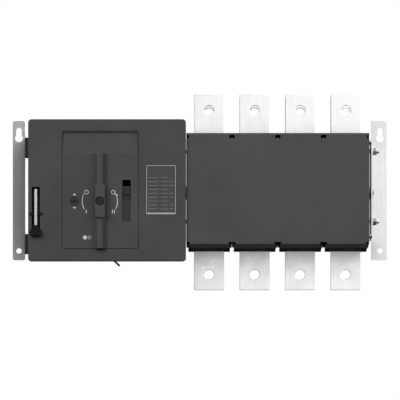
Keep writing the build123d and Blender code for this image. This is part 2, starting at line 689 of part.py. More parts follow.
with BuildPart() as shift_rack:
    block((rack_line_x - addendum, rack_right),
          (middle_reach - rack_half - addendum, middle_reach + rack_half + addendum),
          (rack_bottom, rack_top))
    # clear the corner beside each sector gear's face
    for side in (-1, 1):
        edge = middle_reach + side * (rack_half + addendum + 1)
        block((rack_line_x - addendum - 1, gear_left - 0.5),
              (edge - 2 * addendum - 1, edge + 2 * addendum + 1),
              (rack_bottom - 1, rack_top + 1), Mode.SUBTRACT)
    with BuildSketch(Plane.XZ.offset(middle_reach - rack_half - addendum - 1)):
        for gap_z in tooth_gaps(handle_z, rack_bottom, rack_top):
            with Locations((rack_line_x, gap_z)):
                Polygon(*gap_outline(True), align=None)
    extrude(amount=2 * (rack_half + addendum + 1), mode=Mode.SUBTRACT)
    for side in (-1, 1):
        with BuildSketch(crosswise(gear_left - 0.5, middle_reach + side * rack_half, 0)):
            for gap_z in tooth_gaps(axis_z, rack_bottom, rack_top):
                with Locations((0, gap_z)):
                    Polygon(*gap_outline(side > 0), align=None)
        extrude(amount=rack_right - gear_left + 1, mode=Mode.SUBTRACT)
    block((rack_right - rail_depth, rack_right + 1),
          (middle_reach - rail_half_width - rail_gap, middle_reach + rail_half_width + rail_gap),
          (rack_bottom - 1, rack_top + 1), Mode.SUBTRACT)
shift_rack.part.label = "shift_rack"
export_step(shift_rack.part, "parts/shift_rack.step")

with BuildPart() as gear_bulkhead:
    block((bulkhead_x, bulkhead_x + 3), (floor_reach, HOUSING_FRONT - 1),
          (axis_z - housing_half_height + WALL + SEAT_GAP,
           axis_z + housing_half_height - WALL - SEAT_GAP))
    block((rack_right - rail_depth + rail_gap, bulkhead_x),
          (middle_reach - rail_half_width, middle_reach + rail_half_width), rail_z)
    block((rack_right + rail_gap, bulkhead_x), (middle_reach - 6, middle_reach + 6), rail_z)
    for _, spot_z in frame_screw_spots[1:]:
        block((bulkhead_x, bulkhead_x + 22), (floor_reach, floor_reach + 3),
              (spot_z - 12, spot_z + 12))
        rod_along_y(bulkhead_x + 12, (floor_reach, floor_reach + 3), spot_z,
                    SCREW_RADIUS + RUNNING_FIT, Mode.SUBTRACT)
    for reach in switch_reaches:
        rod_along_x((bulkhead_x, bulkhead_x + 3), reach, axis_z,
                    journal_bush_radius + RUNNING_FIT, Mode.SUBTRACT)
gear_bulkhead.part.label = "gear_bulkhead"
export_step(gear_bulkhead.part, "parts/gear_bulkhead.step")

sector_half_angle = (SECTOR_SIDE_TEETH + 0.6) * 360 / gear_teeth
for number, reach, face_angle in ((1, front_switch_reach, 0), (2, REAR_SWITCH_REACH, 180)):
    with BuildPart() as sector_gear:
        with BuildSketch(crosswise(gear_left, reach, axis_z)):
            Circle(gear_radius - dedendum)
            wide = 3 * gear_radius
            lean = math.radians(sector_half_angle)
            with Locations(Location((0, 0, 0), (0, 0, 1), face_angle)):
                Polygon((0, 0), (wide * math.cos(lean), -wide * math.sin(lean)),
                        (wide, -wide * math.sin(lean)), (wide, wide * math.sin(lean)),
                        (wide * math.cos(lean), wide * math.sin(lean)),
                        align=None, mode=Mode.INTERSECT)
            Circle(2 * SHAFT_RADIUS)
            gear_teeth_at(gear_teeth, [face_angle + 360 * k / gear_teeth
                                       for k in range(-SECTOR_SIDE_TEETH, SECTOR_SIDE_TEETH + 1)])
        extrude(amount=GEAR_FACE)
        with BuildSketch(crosswise(gear_left, reach, axis_z, -rotor_swing)):
            double_flat(SHAFT_RADIUS + RUNNING_FIT, SHAFT_FLAT + RUNNING_FIT)
        extrude(amount=GEAR_FACE, mode=Mode.SUBTRACT)
    sector_gear.part.label = f"sector_gear_{number}"
    export_step(sector_gear.part, f"parts/sector_gear_{number}.step")

# ---------------------------------------------------------------------------
# Rotor shafts, bushes, blades and sleeves
# ---------------------------------------------------------------------------
shaft_left = gear_left - 1.5
shaft_step = poles_right + 0.6
shaft_right = bracket_out + SHAFT_TIP_PROUD
journals = [(bulkhead_x - 1.5, bulkhead_x + 4.5), (inner_plate_x - 2.5, poles_left)]
blade_offsets = [BLADE_SPACING * (k - (BLADES_PER_POLE - 1) / 2) for k in range(BLADES_PER_POLE)]
inner_gaps = [(blade_offsets[k] + BLADE_THICKNESS / 2, blade_offsets[k + 1] - BLADE_THICKNESS / 2)
              for k in range(BLADES_PER_POLE - 1)]
stack_half = blade_offsets[-1] + BLADE_THICKNESS / 2
sleeve_end = POLE_PITCH / 2 - 0.1

for number, reach in enumerate(switch_reaches, start=1):
    with BuildPart() as rotor_shaft:
        with BuildSketch(crosswise(shaft_left, reach, axis_z, -rotor_swing)):
            double_flat(SHAFT_RADIUS, SHAFT_FLAT)
        extrude(amount=shaft_step - shaft_left)
        for journal in journals:
            rod_along_x(journal, reach, axis_z, SHAFT_RADIUS)
        rod_along_x((shaft_step, shaft_right), reach, axis_z, SHAFT_TIP_RADIUS)
    rotor_shaft.part.label = f"rotor_shaft_{number}"
    export_step(rotor_shaft.part, f"parts/rotor_shaft_{number}.step")

    with BuildPart() as contact_blades:
        for centre in pole_centres:
            for offset in blade_offsets:
                blade_x = centre + offset - BLADE_THICKNESS / 2
                with BuildSketch(crosswise(blade_x, reach, axis_z, -rotor_swing)):
                    Rectangle(BLADE_WIDTH, BLADE_LENGTH)
                    Circle(BLADE_HUB_RADIUS)
                    double_flat(SHAFT_RADIUS + RUNNING_FIT, SHAFT_FLAT + RUNNING_FIT, Mode.SUBTRACT)
                extrude(amount=BLADE_THICKNESS)
    contact_blades.part.label = f"contact_blades_{number}"
    export_step(contact_blades.part, f"parts/contact_blades_{number}.step")

    with BuildPart() as rotor_sleeves:
        for centre in pole_centres:
            stretches = [(-sleeve_end, -stack_half)] + inner_gaps + [(stack_half, sleeve_end)]
            for low, high in stretches:
                with BuildSketch(crosswise(centre + low, reach, axis_z, -rotor_swing)):
                    Circle(SLEEVE_RADIUS)
                    double_flat(SHAFT_RADIUS + RUNNING_FIT, SHAFT_FLAT + RUNNING_FIT, Mode.SUBTRACT)
                extrude(amount=high - low)
    rotor_sleeves.part.label = f"rotor_sleeves_{number}"
    export_step(rotor_sleeves.part, f"parts/rotor_sleeves_{number}.step")

with BuildPart() as shaft_bushes:
    for reach in switch_reaches:
        rod_along_x((bulkhead_x, bulkhead_x + 3), reach, axis_z, journal_bush_radius)
        rod_along_x((bulkhead_x + 3, bulkhead_x + 3 + FLANGE_THICKNESS), reach, axis_z,
                    journal_bush_radius + FLANGE_RISE)
        rod_along_x((inner_plate_x, cover_right), reach, axis_z, journal_bush_radius)
        rod_along_x((inner_plate_x - FLANGE_THICKNESS, inner_plate_x), reach, axis_z,
                    journal_bush_radius + FLANGE_RISE)
        rod_along_x((bulkhead_x - 1, poles_left), reach, axis_z, SHAFT_RADIUS + RUNNING_FIT,
                    Mode.SUBTRACT)
        rod_along_x((bracket_x, bracket_out), reach, axis_z, bush_radius)
        rod_along_x((bracket_x - FLANGE_THICKNESS, bracket_x), reach, axis_z,
                    bush_radius + FLANGE_RISE)
        rod_along_x((poles_right, bracket_out + 1), reach, axis_z, SHAFT_TIP_RADIUS + RUNNING_FIT,
                    Mode.SUBTRACT)
shaft_bushes.part.label = "shaft_bushes"
export_step(shaft_bushes.part, "parts/shaft_bushes.step")

# ---------------------------------------------------------------------------
# Poles: half shells, terminals, contact pads and arc plates
# ---------------------------------------------------------------------------
half_pole = POLE_PITCH / 2 - FACE_GAP
half_throat = (POLE_PITCH - BARRIER_SLOT) / 2
shoulder = POLE_HALF_HEIGHT - SLOT_DEPTH
shell_half_height = POLE_HALF_HEIGHT - 0.5
blade_half = BLADE_WIDTH / 2
blade_tip = BLADE_LENGTH / 2
# bars leave the shells behind their switch axis by the setback
front_exit = (front_switch_reach - BAR_SETBACK - BAR_THICKNESS / 2,
              front_switch_reach - BAR_SETBACK + BAR_THICKNESS / 2)
rear_exit = (REAR_SWITCH_REACH - BAR_SETBACK - BAR_THICKNESS / 2,
             REAR_SWITCH_REACH - BAR_SETBACK + BAR_THICKNESS / 2)


def exit_slot(x, reach, side):
    """The slot in a shell's top or bottom wall that one bar leaves through."""
    low, high = sorted((axis_z + side * (shell_half_height - WALL - 1),
                        axis_z + side * (shell_half_height + 1)))
    block(x, (reach[0] - SEAT_GAP, reach[1] + SEAT_GAP), (low, high), Mode.SUBTRACT)


for index, centre in enumerate(pole_centres, start=1):
    for side_name, side in (("left", -1), ("right", 1)):
        outer = centre + side * half_pole
        throat = centre + side * half_throat
        inner = centre + side * (half_pole - WALL)
        inner_throat = centre + side * (half_throat - WALL)
        bar_side = centre + side * (BAR_WIDTH / 2 + SEAT_GAP)
        with BuildPart() as pole_shell:
            block(sorted((centre, outer)), (shell_back, shell_front),
                  (axis_z - shoulder, axis_z + shoulder))
            block(sorted((centre, throat)), (shell_back, shell_front),
                  (axis_z - shell_half_height, axis_z + shell_half_height))
            block(sorted((centre, inner)), (shell_back + WALL, shell_front - WALL),
                  (axis_z - shoulder + WALL, axis_z + shoulder - WALL), Mode.SUBTRACT)
            block(sorted((centre, inner_throat)), (shell_back + WALL, shell_front - WALL),
                  (axis_z - shell_half_height + WALL, axis_z + shell_half_height - WALL),
                  Mode.SUBTRACT)
            # front wall that closes the upper barrier slot
            block(sorted((throat, outer)), (shell_front - SLOT_FRONT_WALL, shell_front),
                  (axis_z + shoulder, axis_z + shell_half_height))
            # half lap that closes the seam in front of the slot
            lap = (shell_front - SLOT_FRONT_WALL, shell_front - SLOT_FRONT_WALL / 2)
            if side == 1 and index < POLES:
                block((outer, outer + SEAM_LAP), lap,
                      (axis_z + shoulder + SEAT_GAP, axis_z + shell_half_height))
            if side == -1:
                block((outer, outer + SEAM_LAP + SEAT_GAP), (lap[0], lap[1] + SEAT_GAP),
                      (axis_z + shoulder, axis_z + shell_half_height), Mode.SUBTRACT)
            # wall between the two switch chambers
            block(sorted((centre, inner)), (middle_reach - WALL / 2, middle_reach + WALL / 2),
                  (axis_z - CROSSBAR_Z + 4, axis_z + shoulder - WALL))
            for rod_z in rod_heights:
                rod_along_x(sorted((centre, outer)), middle_reach, rod_z, ROD_RADIUS + 3.5)
                rod_along_x(sorted((centre, outer)), middle_reach, rod_z,
                            ROD_RADIUS + ROD_CLEARANCE, Mode.SUBTRACT)
            for reach in switch_reaches:
                rod_along_x(sorted((inner, outer)), reach, axis_z, SLEEVE_RADIUS + EASE,
                            Mode.SUBTRACT)
            exit_slot(sorted((centre, bar_side)), front_exit, 1)
            exit_slot(sorted((centre, bar_side)), rear_exit, 1)
            exit_slot(sorted((centre, bar_side)), rear_exit, -1)
        name = f"pole_shell_{side_name}_{index}"
        pole_shell.part.label = name
        export_step(pole_shell.part, f"parts/{name}.step")


def bar_section(x, reach, z):
    """One straight stretch of a bar, as wide as the bar."""
    block((x - BAR_WIDTH / 2, x + BAR_WIDTH / 2), reach, z)


def bar_hole(x, reach, end_z):
    """The bolt hole near a bar's free end."""
    hole_z = end_z - math.copysign(BAR_HOLE_FROM_END, end_z - axis_z)
    rod_along_y(x, reach, hole_z, BAR_HOLE_RADIUS, Mode.SUBTRACT)


def upper_leg(reach):
    """The stretch of a source bar in front of the blades, as two reaches."""
    start = reach + blade_half + CONTACT_GAP + PAD_THICKNESS
    return (start, start + BAR_THICKNESS)


def lower_leg(reach):
    """The stretch of the load bar behind the blades, as two reaches."""
    end = reach - blade_half - CONTACT_GAP - PAD_THICKNESS
    return (end - BAR_THICKNESS, end)


crossbar_up = (axis_z + CROSSBAR_Z, axis_z + CROSSBAR_Z + BAR_THICKNESS)
crossbar_down = (axis_z - CROSSBAR_Z - BAR_THICKNESS, axis_z - CROSSBAR_Z)
leg_end = blade_tip - PAD_HEIGHT - LEG_PAST_PAD

for index, centre in enumerate(pole_centres, start=1):
    for source, reach, exit_reach in ((1, front_switch_reach, front_exit),
                                      (2, REAR_SWITCH_REACH, rear_exit)):
        with BuildPart() as source_terminal:
            bar_section(centre, exit_reach, (crossbar_up[0], axis_z + BAR_REACH))
            bar_section(centre, (exit_reach[0], upper_leg(reach)[1]), crossbar_up)
            bar_section(centre, upper_leg(reach), (axis_z + leg_end, crossbar_up[1]))
            bar_hole(centre, exit_reach, axis_z + BAR_REACH)
        name = f"source_{source}_terminal_{index}"
        source_terminal.part.label = name
        export_step(source_terminal.part, f"parts/{name}.step")

    with BuildPart() as load_terminal:
        bar_section(centre, rear_exit, (axis_z - LOAD_BAR_REACH, crossbar_down[1]))
        bar_section(centre, (rear_exit[0], lower_leg(front_switch_reach)[1]), crossbar_down)
        for reach in switch_reaches:
            bar_section(centre, lower_leg(reach), (crossbar_down[0], axis_z - leg_end))
        bar_hole(centre, rear_exit, axis_z - LOAD_BAR_REACH)
    name = f"load_terminal_{index}"
    load_terminal.part.label = name
    export_step(load_terminal.part, f"parts/{name}.step")

with BuildPart() as contact_pads:
    for centre in pole_centres:
        pad_x = (centre - PAD_WIDTH / 2, centre + PAD_WIDTH / 2)
        for reach in switch_reaches:
            front_pad = reach + blade_half + CONTACT_GAP
            block(pad_x, (front_pad, front_pad + PAD_THICKNESS),
                  (axis_z + blade_tip - PAD_HEIGHT, axis_z + blade_tip))
            back_pad = reach - blade_half - CONTACT_GAP
            block(pad_x, (back_pad - PAD_THICKNESS, back_pad),
                  (axis_z - blade_tip, axis_z - blade_tip + PAD_HEIGHT))
contact_pads.part.label = "contact_pads"
export_step(contact_pads.part, "parts/contact_pads.step")

arc_width = 2 * (half_pole - WALL - SEAT_GAP)
arc_step = (ARC_LAST - ARC_FIRST) / (ARC_PLATES - 1)
for number, reach in enumerate(switch_reaches, start=1):
    with BuildPart() as arc_plates:
        for centre in pole_centres:
            for turn in (0, 180):
                for k in range(ARC_PLATES):
                    fan = ARC_FIRST + arc_step * k
                    with BuildSketch(crosswise(centre - arc_width / 2, reach, axis_z, turn - fan)):
                        with Locations((0, ARC_RADIUS)):
                            Rectangle(ARC_PLATE_THICKNESS, ARC_PLATE_DEPTH)
                    extrude(amount=arc_width)
    arc_plates.part.label = f"arc_plates_{number}"
    export_step(arc_plates.part, f"parts/arc_plates_{number}.step")

seam_xs = [poles_left + POLE_PITCH * i for i in range(POLES + 1)]
notch_top = (7.8, 5.4)
notch_top_drop = 5.4
with BuildPart() as pole_front_cover:
    block((poles_left, poles_right), (pole_cover_back, pole_cover_front),
          (axis_z - POLE_HALF_HEIGHT, axis_z + POLE_HALF_HEIGHT))
    face_edges = pole_front_cover.part.faces().sort_by(Axis.Y)[0].edges()
    fillet(face_edges.filter_by(Axis.X).sort_by(Axis.Z)[-1], 2.5)
    chamfer(pole_front_cover.part.faces().sort_by(Axis.Y)[0].edges().filter_by(Axis.X)
            .sort_by(Axis.Z)[0], POLE_COVER_BEVEL)
    with BuildSketch(Plane.XZ.offset(pole_cover_back - 1)):
        for seam_x in seam_xs:
            with Locations((seam_x, axis_z + POLE_HALF_HEIGHT - notch_top_drop)):
                RectangleRounded(*notch_top, 2.2)
            with BuildLine():
                Polyline((seam_x - 2.0, axis_z - POLE_HALF_HEIGHT - 1),
                         (seam_x + 2.0, axis_z - POLE_HALF_HEIGHT - 1),
                         (seam_x + 2.0, axis_z - POLE_HALF_HEIGHT + 3),
                         (seam_x + 5.0, axis_z - POLE_HALF_HEIGHT + 6.5),
                         (seam_x + 5.0, axis_z - POLE_HALF_HEIGHT + 8.5),
                         (seam_x - 5.0, axis_z - POLE_HALF_HEIGHT + 8.5),
                         (seam_x - 5.0, axis_z - POLE_HALF_HEIGHT + 6.5),
                         (seam_x - 2.0, axis_z - POLE_HALF_HEIGHT + 3), close=True)
            make_face()
    extrude(amount=POLE_COVER_THICKNESS + 2, mode=Mode.SUBTRACT)
pole_front_cover.part.label = "pole_front_cover"
export_step(pole_front_cover.part, "parts/pole_front_cover.step")

# ---------------------------------------------------------------------------
# Tie rods, nuts and washers
# ---------------------------------------------------------------------------
housing_wall_x = housing_right - WALL
left_nut = (housing_wall_x - WASHER_THICKNESS - NUT_THICKNESS, housing_wall_x - WASHER_THICKNESS)
right_nut = (bracket_out + WASHER_THICKNESS, bracket_out + WASHER_THICKNESS + NUT_THICKNESS)
rod_ends = (left_nut[0] - ROD_PROUD, right_nut[1] + ROD_PROUD_RIGHT)

with BuildPart() as tie_rods:
    for rod_z in rod_heights:
        rod_along_x(rod_ends, middle_reach, rod_z, ROD_RADIUS)
tie_rods.part.label = "tie_rods"
export_step(tie_rods.part, "parts/tie_rods.step")

with BuildPart() as tie_rod_nuts:
    for rod_z in rod_heights:
        for nut in (left_nut, right_nut):
            with BuildSketch(crosswise(nut[0], middle_reach, rod_z, 90)):
                RegularPolygon(NUT_FLATS / 2, 6, major_radius=False)
                Circle(ROD_RADIUS + RUNNING_FIT, mode=Mode.SUBTRACT)
            extrude(amount=nut[1] - nut[0])
tie_rod_nuts.part.label = "tie_rod_nuts"
export_step(tie_rod_nuts.part, "parts/tie_rod_nuts.step")

with BuildPart() as tie_rod_washers:
    for rod_z in rod_heights:
        for start in (left_nut[1], bracket_out):
            with BuildSketch(crosswise(start, middle_reach, rod_z)):
                Circle(WASHER_RADIUS)
                Circle(ROD_RADIUS + ROD_CLEARANCE, mode=Mode.SUBTRACT)
            extrude(amount=WASHER_THICKNESS)
tie_rod_washers.part.label = "tie_rod_washers"
export_step(tie_rod_washers.part, "parts/tie_rod_washers.step")

# ---------------------------------------------------------------------------
# Small controls: selector slider, lock barrel, stowed key and release lever
# ---------------------------------------------------------------------------
slider_front = COVER_FRONT - 0.4
slider_step_height = 8.0
slider_step_depth = 2.4
slider_low = slider_z - slider_slot[1] / 2 + slider_play
slider_high = slider_low + slider_size[1]
grip_z = (slider_low + slider_step_height + slider_high) / 2
with BuildPart() as selector_slider:
    slider_x_range = (slider_x - slider_size[0] / 2, slider_x + slider_size[0] / 2)
    block(slider_x_range, (panel_back - SEAT_GAP - 1, slider_front - slider_step_depth),
          (slider_low, slider_high))
    block(slider_x_range, (slider_front - slider_step_depth, slider_front),
          (slider_low + slider_step_height, slider_high))
    fillet(selector_slider.part.faces().sort_by(Axis.Y)[0].edges(), 0.8)
    for k in (-1, 0, 1):
        block((slider_x - slider_size[0], slider_x + slider_size[0]),
              (slider_front - 0.5, COVER_FRONT + 1),
              (grip_z + k * 2.6 - 0.4, grip_z + k * 2.6 + 0.4), Mode.SUBTRACT)
    block((slider_x - 9.0, slider_x + 9.0), (panel_back - SEAT_GAP - 2.0, panel_back - SEAT_GAP),
          (slider_low, slider_high))
selector_slider.part.label = "selector_slider"
export_step(selector_slider.part, "parts/selector_slider.step")

with BuildPart() as lock_barrel:
    rod_along_y(barrel_x, (panel_back - SEAT_GAP, COVER_FRONT - 1.2), barrel_z, barrel_radius)
    rod_along_y(barrel_x, (panel_back - SEAT_GAP - 8, panel_back - SEAT_GAP), barrel_z,
                barrel_radius + 2.5)
    block((barrel_x - 5.0, barrel_x + 5.0), (COVER_FRONT - 3.0, COVER_FRONT),
          (barrel_z - 0.9, barrel_z + 0.9), Mode.SUBTRACT)
lock_barrel.part.label = "lock_barrel"
export_step(lock_barrel.part, "parts/lock_barrel.step")

key_flats = 6.2
key_reach = COVER_FRONT - 7.0
key_shaft_z = (axis_z - 52.0, axis_z + 2.6)
with BuildPart() as key_shaft:
    with BuildSketch(Plane.XY.offset(key_shaft_z[0])):
        with Locations((key_x, -key_reach)):
            RegularPolygon(key_flats / 2, 6, major_radius=False)
    extrude(amount=key_shaft_z[1] - key_shaft_z[0])
    chamfer(key_shaft.part.faces().sort_by(Axis.Z)[-1].edges(), 0.8)
key_shaft.part.label = "key_shaft"
export_step(key_shaft.part, "parts/key_shaft.step")

bow_size = (16.7, 10.0)
bow_z = axis_z - 60.2
with BuildPart() as key_grip:
    block((key_x - 4.6, key_x + 4.6), (key_reach - 4.6, key_reach + 4.6),
          (bow_z, axis_z - 49.4))
    block((key_x - 4.0, key_x + 4.0), (key_reach - 4.0, COVER_FRONT + 4.0),
          (bow_z - 3.4, bow_z + 3.4))
    with BuildSketch(Plane.XZ.offset(COVER_FRONT + 0.6)):
        with Locations((key_x, bow_z)):
            RectangleRounded(*bow_size, 3.4)
    extrude(amount=7.0)
    fillet(key_grip.part.faces().sort_by(Axis.Y)[0].edges(), 1.2)
    with BuildSketch(Plane.XY.offset(key_shaft_z[0])):
        with Locations((key_x, -key_reach)):
            RegularPolygon(key_flats / 2 + 0.02, 6, major_radius=False)
    extrude(amount=6, mode=Mode.SUBTRACT)
key_grip.part.label = "key_grip"
export_step(key_grip.part, "parts/key_grip.step")

clip_z = (axis_z - 35.0, axis_z - 31.6)
clip_half = key_slot_width / 2 - 0.2
clip_back = COVER_FRONT - key_pocket_depth + 0.2
with BuildPart() as key_clip:
    block((key_x - clip_half, key_x + clip_half), (clip_back, clip_back + 3), clip_z)
    for side in (-1, 1):
        arm = sorted((key_x + side * clip_half, key_x + side * (key_flats / 2 + 0.9)))
        block(arm, (clip_back, COVER_FRONT + 2.0), clip_z)
        ear = sorted((key_x + side * (clip_half - 1), key_x + side * (clip_half + 3.6)))
        block(ear, (COVER_FRONT + 0.3, COVER_FRONT + 2.0), clip_z)
key_clip.part.label = "key_clip"
export_step(key_clip.part, "parts/key_clip.step")

lever_length = 24.0
lever_angle = 47.0
with BuildPart() as release_lever:
    rod_along_y(lever_x, (lever_reach - lever_half_length, lever_reach + lever_half_length),
                lever_z, 2.8)
    rod_along_y(lever_x, (lever_reach - lever_half_length - lug_thickness,
                          lever_reach + lever_half_length + lug_thickness),
                lever_z, lever_pin_radius)
    lean = math.radians(lever_angle)
    stem = Plane(origin=(lever_x, -lever_reach, lever_z),
                 x_dir=(0, 1, 0), z_dir=(math.sin(lean), 0, -math.cos(lean)))
    with BuildSketch(stem):
        Circle(1.4)
    extrude(amount=lever_length - 1.5)
    with Locations((lever_x + (lever_length - 1.5) * math.sin(lean), -lever_reach,
                    lever_z - (lever_length - 1.5) * math.cos(lean))):
        Sphere(1.7)
release_lever.part.label = "release_lever"
export_step(release_lever.part, "parts/release_lever.step")

# ---------------------------------------------------------------------------
# Screws
# ---------------------------------------------------------------------------
head_depth = SCREW_HEAD_RADIUS - SCREW_RADIUS
with BuildPart() as cover_screws:
    for screw_x in cover_screw_xs:
        for side in (1, -1):
            top = Location((screw_x, -cover_screw_reach, axis_z + side * body_half_height),
                           (1, 0, 0), 90 - 90 * side)
            with Locations(top):
                with Locations((0, 0, -head_depth / 2)):
                    Cone(SCREW_RADIUS - 0.1, SCREW_HEAD_RADIUS - 0.1, head_depth)
                with Locations((0, 0, -head_depth - 2.4)):
                    Cylinder(SCREW_RADIUS, 5.0)
                with Locations((0, 0, -0.3)):
                    Box(6.0, 1.0, 1.4, mode=Mode.SUBTRACT)
cover_screws.part.label = "cover_screws"
export_step(cover_screws.part, "parts/cover_screws.step")

with BuildPart() as foot_screws:
    for leg_z in leg_heights:
        foot_screw_x = foot_inner_x + LEG_WIDTH / 2
        rod_along_y(foot_screw_x, (0.2, SHEET), leg_z, SCREW_HEAD_RADIUS)
        rod_along_y(foot_screw_x, (SHEET, SHEET + 16), leg_z, SCREW_RADIUS)
        block((foot_screw_x - 3, foot_screw_x + 3), (0, 1.2), (leg_z - 0.5, leg_z + 0.5),
              Mode.SUBTRACT)
foot_screws.part.label = "foot_screws"
export_step(foot_screws.part, "parts/foot_screws.step")

with BuildPart() as frame_screws:
    for spot_x, spot_z in frame_screw_spots:
        rod_along_y(spot_x, (HOUSING_BACK + 0.2, floor_reach + 3), spot_z, SCREW_RADIUS)
        rod_along_y(spot_x, (floor_reach + 3, floor_reach + 6), spot_z, SCREW_HEAD_RADIUS)
frame_screws.part.label = "frame_screws"
export_step(frame_screws.part, "parts/frame_screws.step")
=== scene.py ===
import json
import math

import bmesh
import bpy
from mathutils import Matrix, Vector


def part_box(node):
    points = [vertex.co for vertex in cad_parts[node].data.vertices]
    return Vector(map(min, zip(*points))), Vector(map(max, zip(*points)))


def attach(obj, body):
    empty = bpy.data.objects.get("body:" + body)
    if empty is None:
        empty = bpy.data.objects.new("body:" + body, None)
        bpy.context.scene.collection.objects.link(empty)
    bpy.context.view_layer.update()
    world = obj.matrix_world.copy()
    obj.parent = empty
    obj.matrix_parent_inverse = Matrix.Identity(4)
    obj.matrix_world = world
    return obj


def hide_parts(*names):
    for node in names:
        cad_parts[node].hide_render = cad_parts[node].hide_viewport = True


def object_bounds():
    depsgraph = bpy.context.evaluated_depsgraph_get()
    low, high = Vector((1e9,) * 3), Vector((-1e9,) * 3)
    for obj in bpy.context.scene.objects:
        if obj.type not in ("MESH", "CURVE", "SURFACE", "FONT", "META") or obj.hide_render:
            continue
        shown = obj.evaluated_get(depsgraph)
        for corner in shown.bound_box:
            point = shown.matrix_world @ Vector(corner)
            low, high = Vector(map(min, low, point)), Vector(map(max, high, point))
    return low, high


bl_info = {
    "name": "Transfer switch finisher",
    "version": (1, 0, 0),
    "blender": (4, 5, 0),
    "location": "3D View > Sidebar > Transfer switch",
    "description": "Finishes, marks and fine pieces for a four-pole manual transfer switch",
    "category": "Object",
}

# X runs to the right along the poles, Y into the mounting panel and Z up.
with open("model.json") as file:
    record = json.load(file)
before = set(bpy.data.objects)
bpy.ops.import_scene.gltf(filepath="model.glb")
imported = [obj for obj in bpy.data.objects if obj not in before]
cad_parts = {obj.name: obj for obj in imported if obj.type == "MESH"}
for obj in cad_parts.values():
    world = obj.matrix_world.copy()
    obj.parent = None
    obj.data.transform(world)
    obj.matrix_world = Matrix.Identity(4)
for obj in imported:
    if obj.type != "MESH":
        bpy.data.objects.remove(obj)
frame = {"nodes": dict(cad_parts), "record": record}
CAD_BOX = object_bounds()
MM = 0.001
# A face with more area than this is flat; smaller ones may be part of a curve.
LARGEST_CURVED_FACE = 25 * MM * MM
# Edges that turn by more than SHARP are rounded, and those that turn by more than CREASE
# afterwards keep a hard line in the shading.
SHARP = math.radians(38)
CREASE = math.radians(32)

POLES = range(1, 5)
SHELLS = [f"pole_shell_{side}_{i}" for i in POLES for side in ("left", "right")]
BARS = [f"{row}_terminal_{i}" for i in POLES for row in ("source_1", "source_2", "load")]


# ---------------------------------------------------------------------------
# Places that come from the frame
# ---------------------------------------------------------------------------
def body_of(node):
    """The body that a node belongs to."""
    for body, nodes in frame["record"]["behaviour"]["bodies"].items():
        if node in nodes:
            return body
    raise ValueError(f"no body holds {node}")


def centre_of(node):
    """The middle of a node's box."""
    low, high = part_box(node)
    return (Vector(low) + Vector(high)) / 2


def front_of(node):
    """The y of a node's frontmost face."""
    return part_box(node)[0][1]


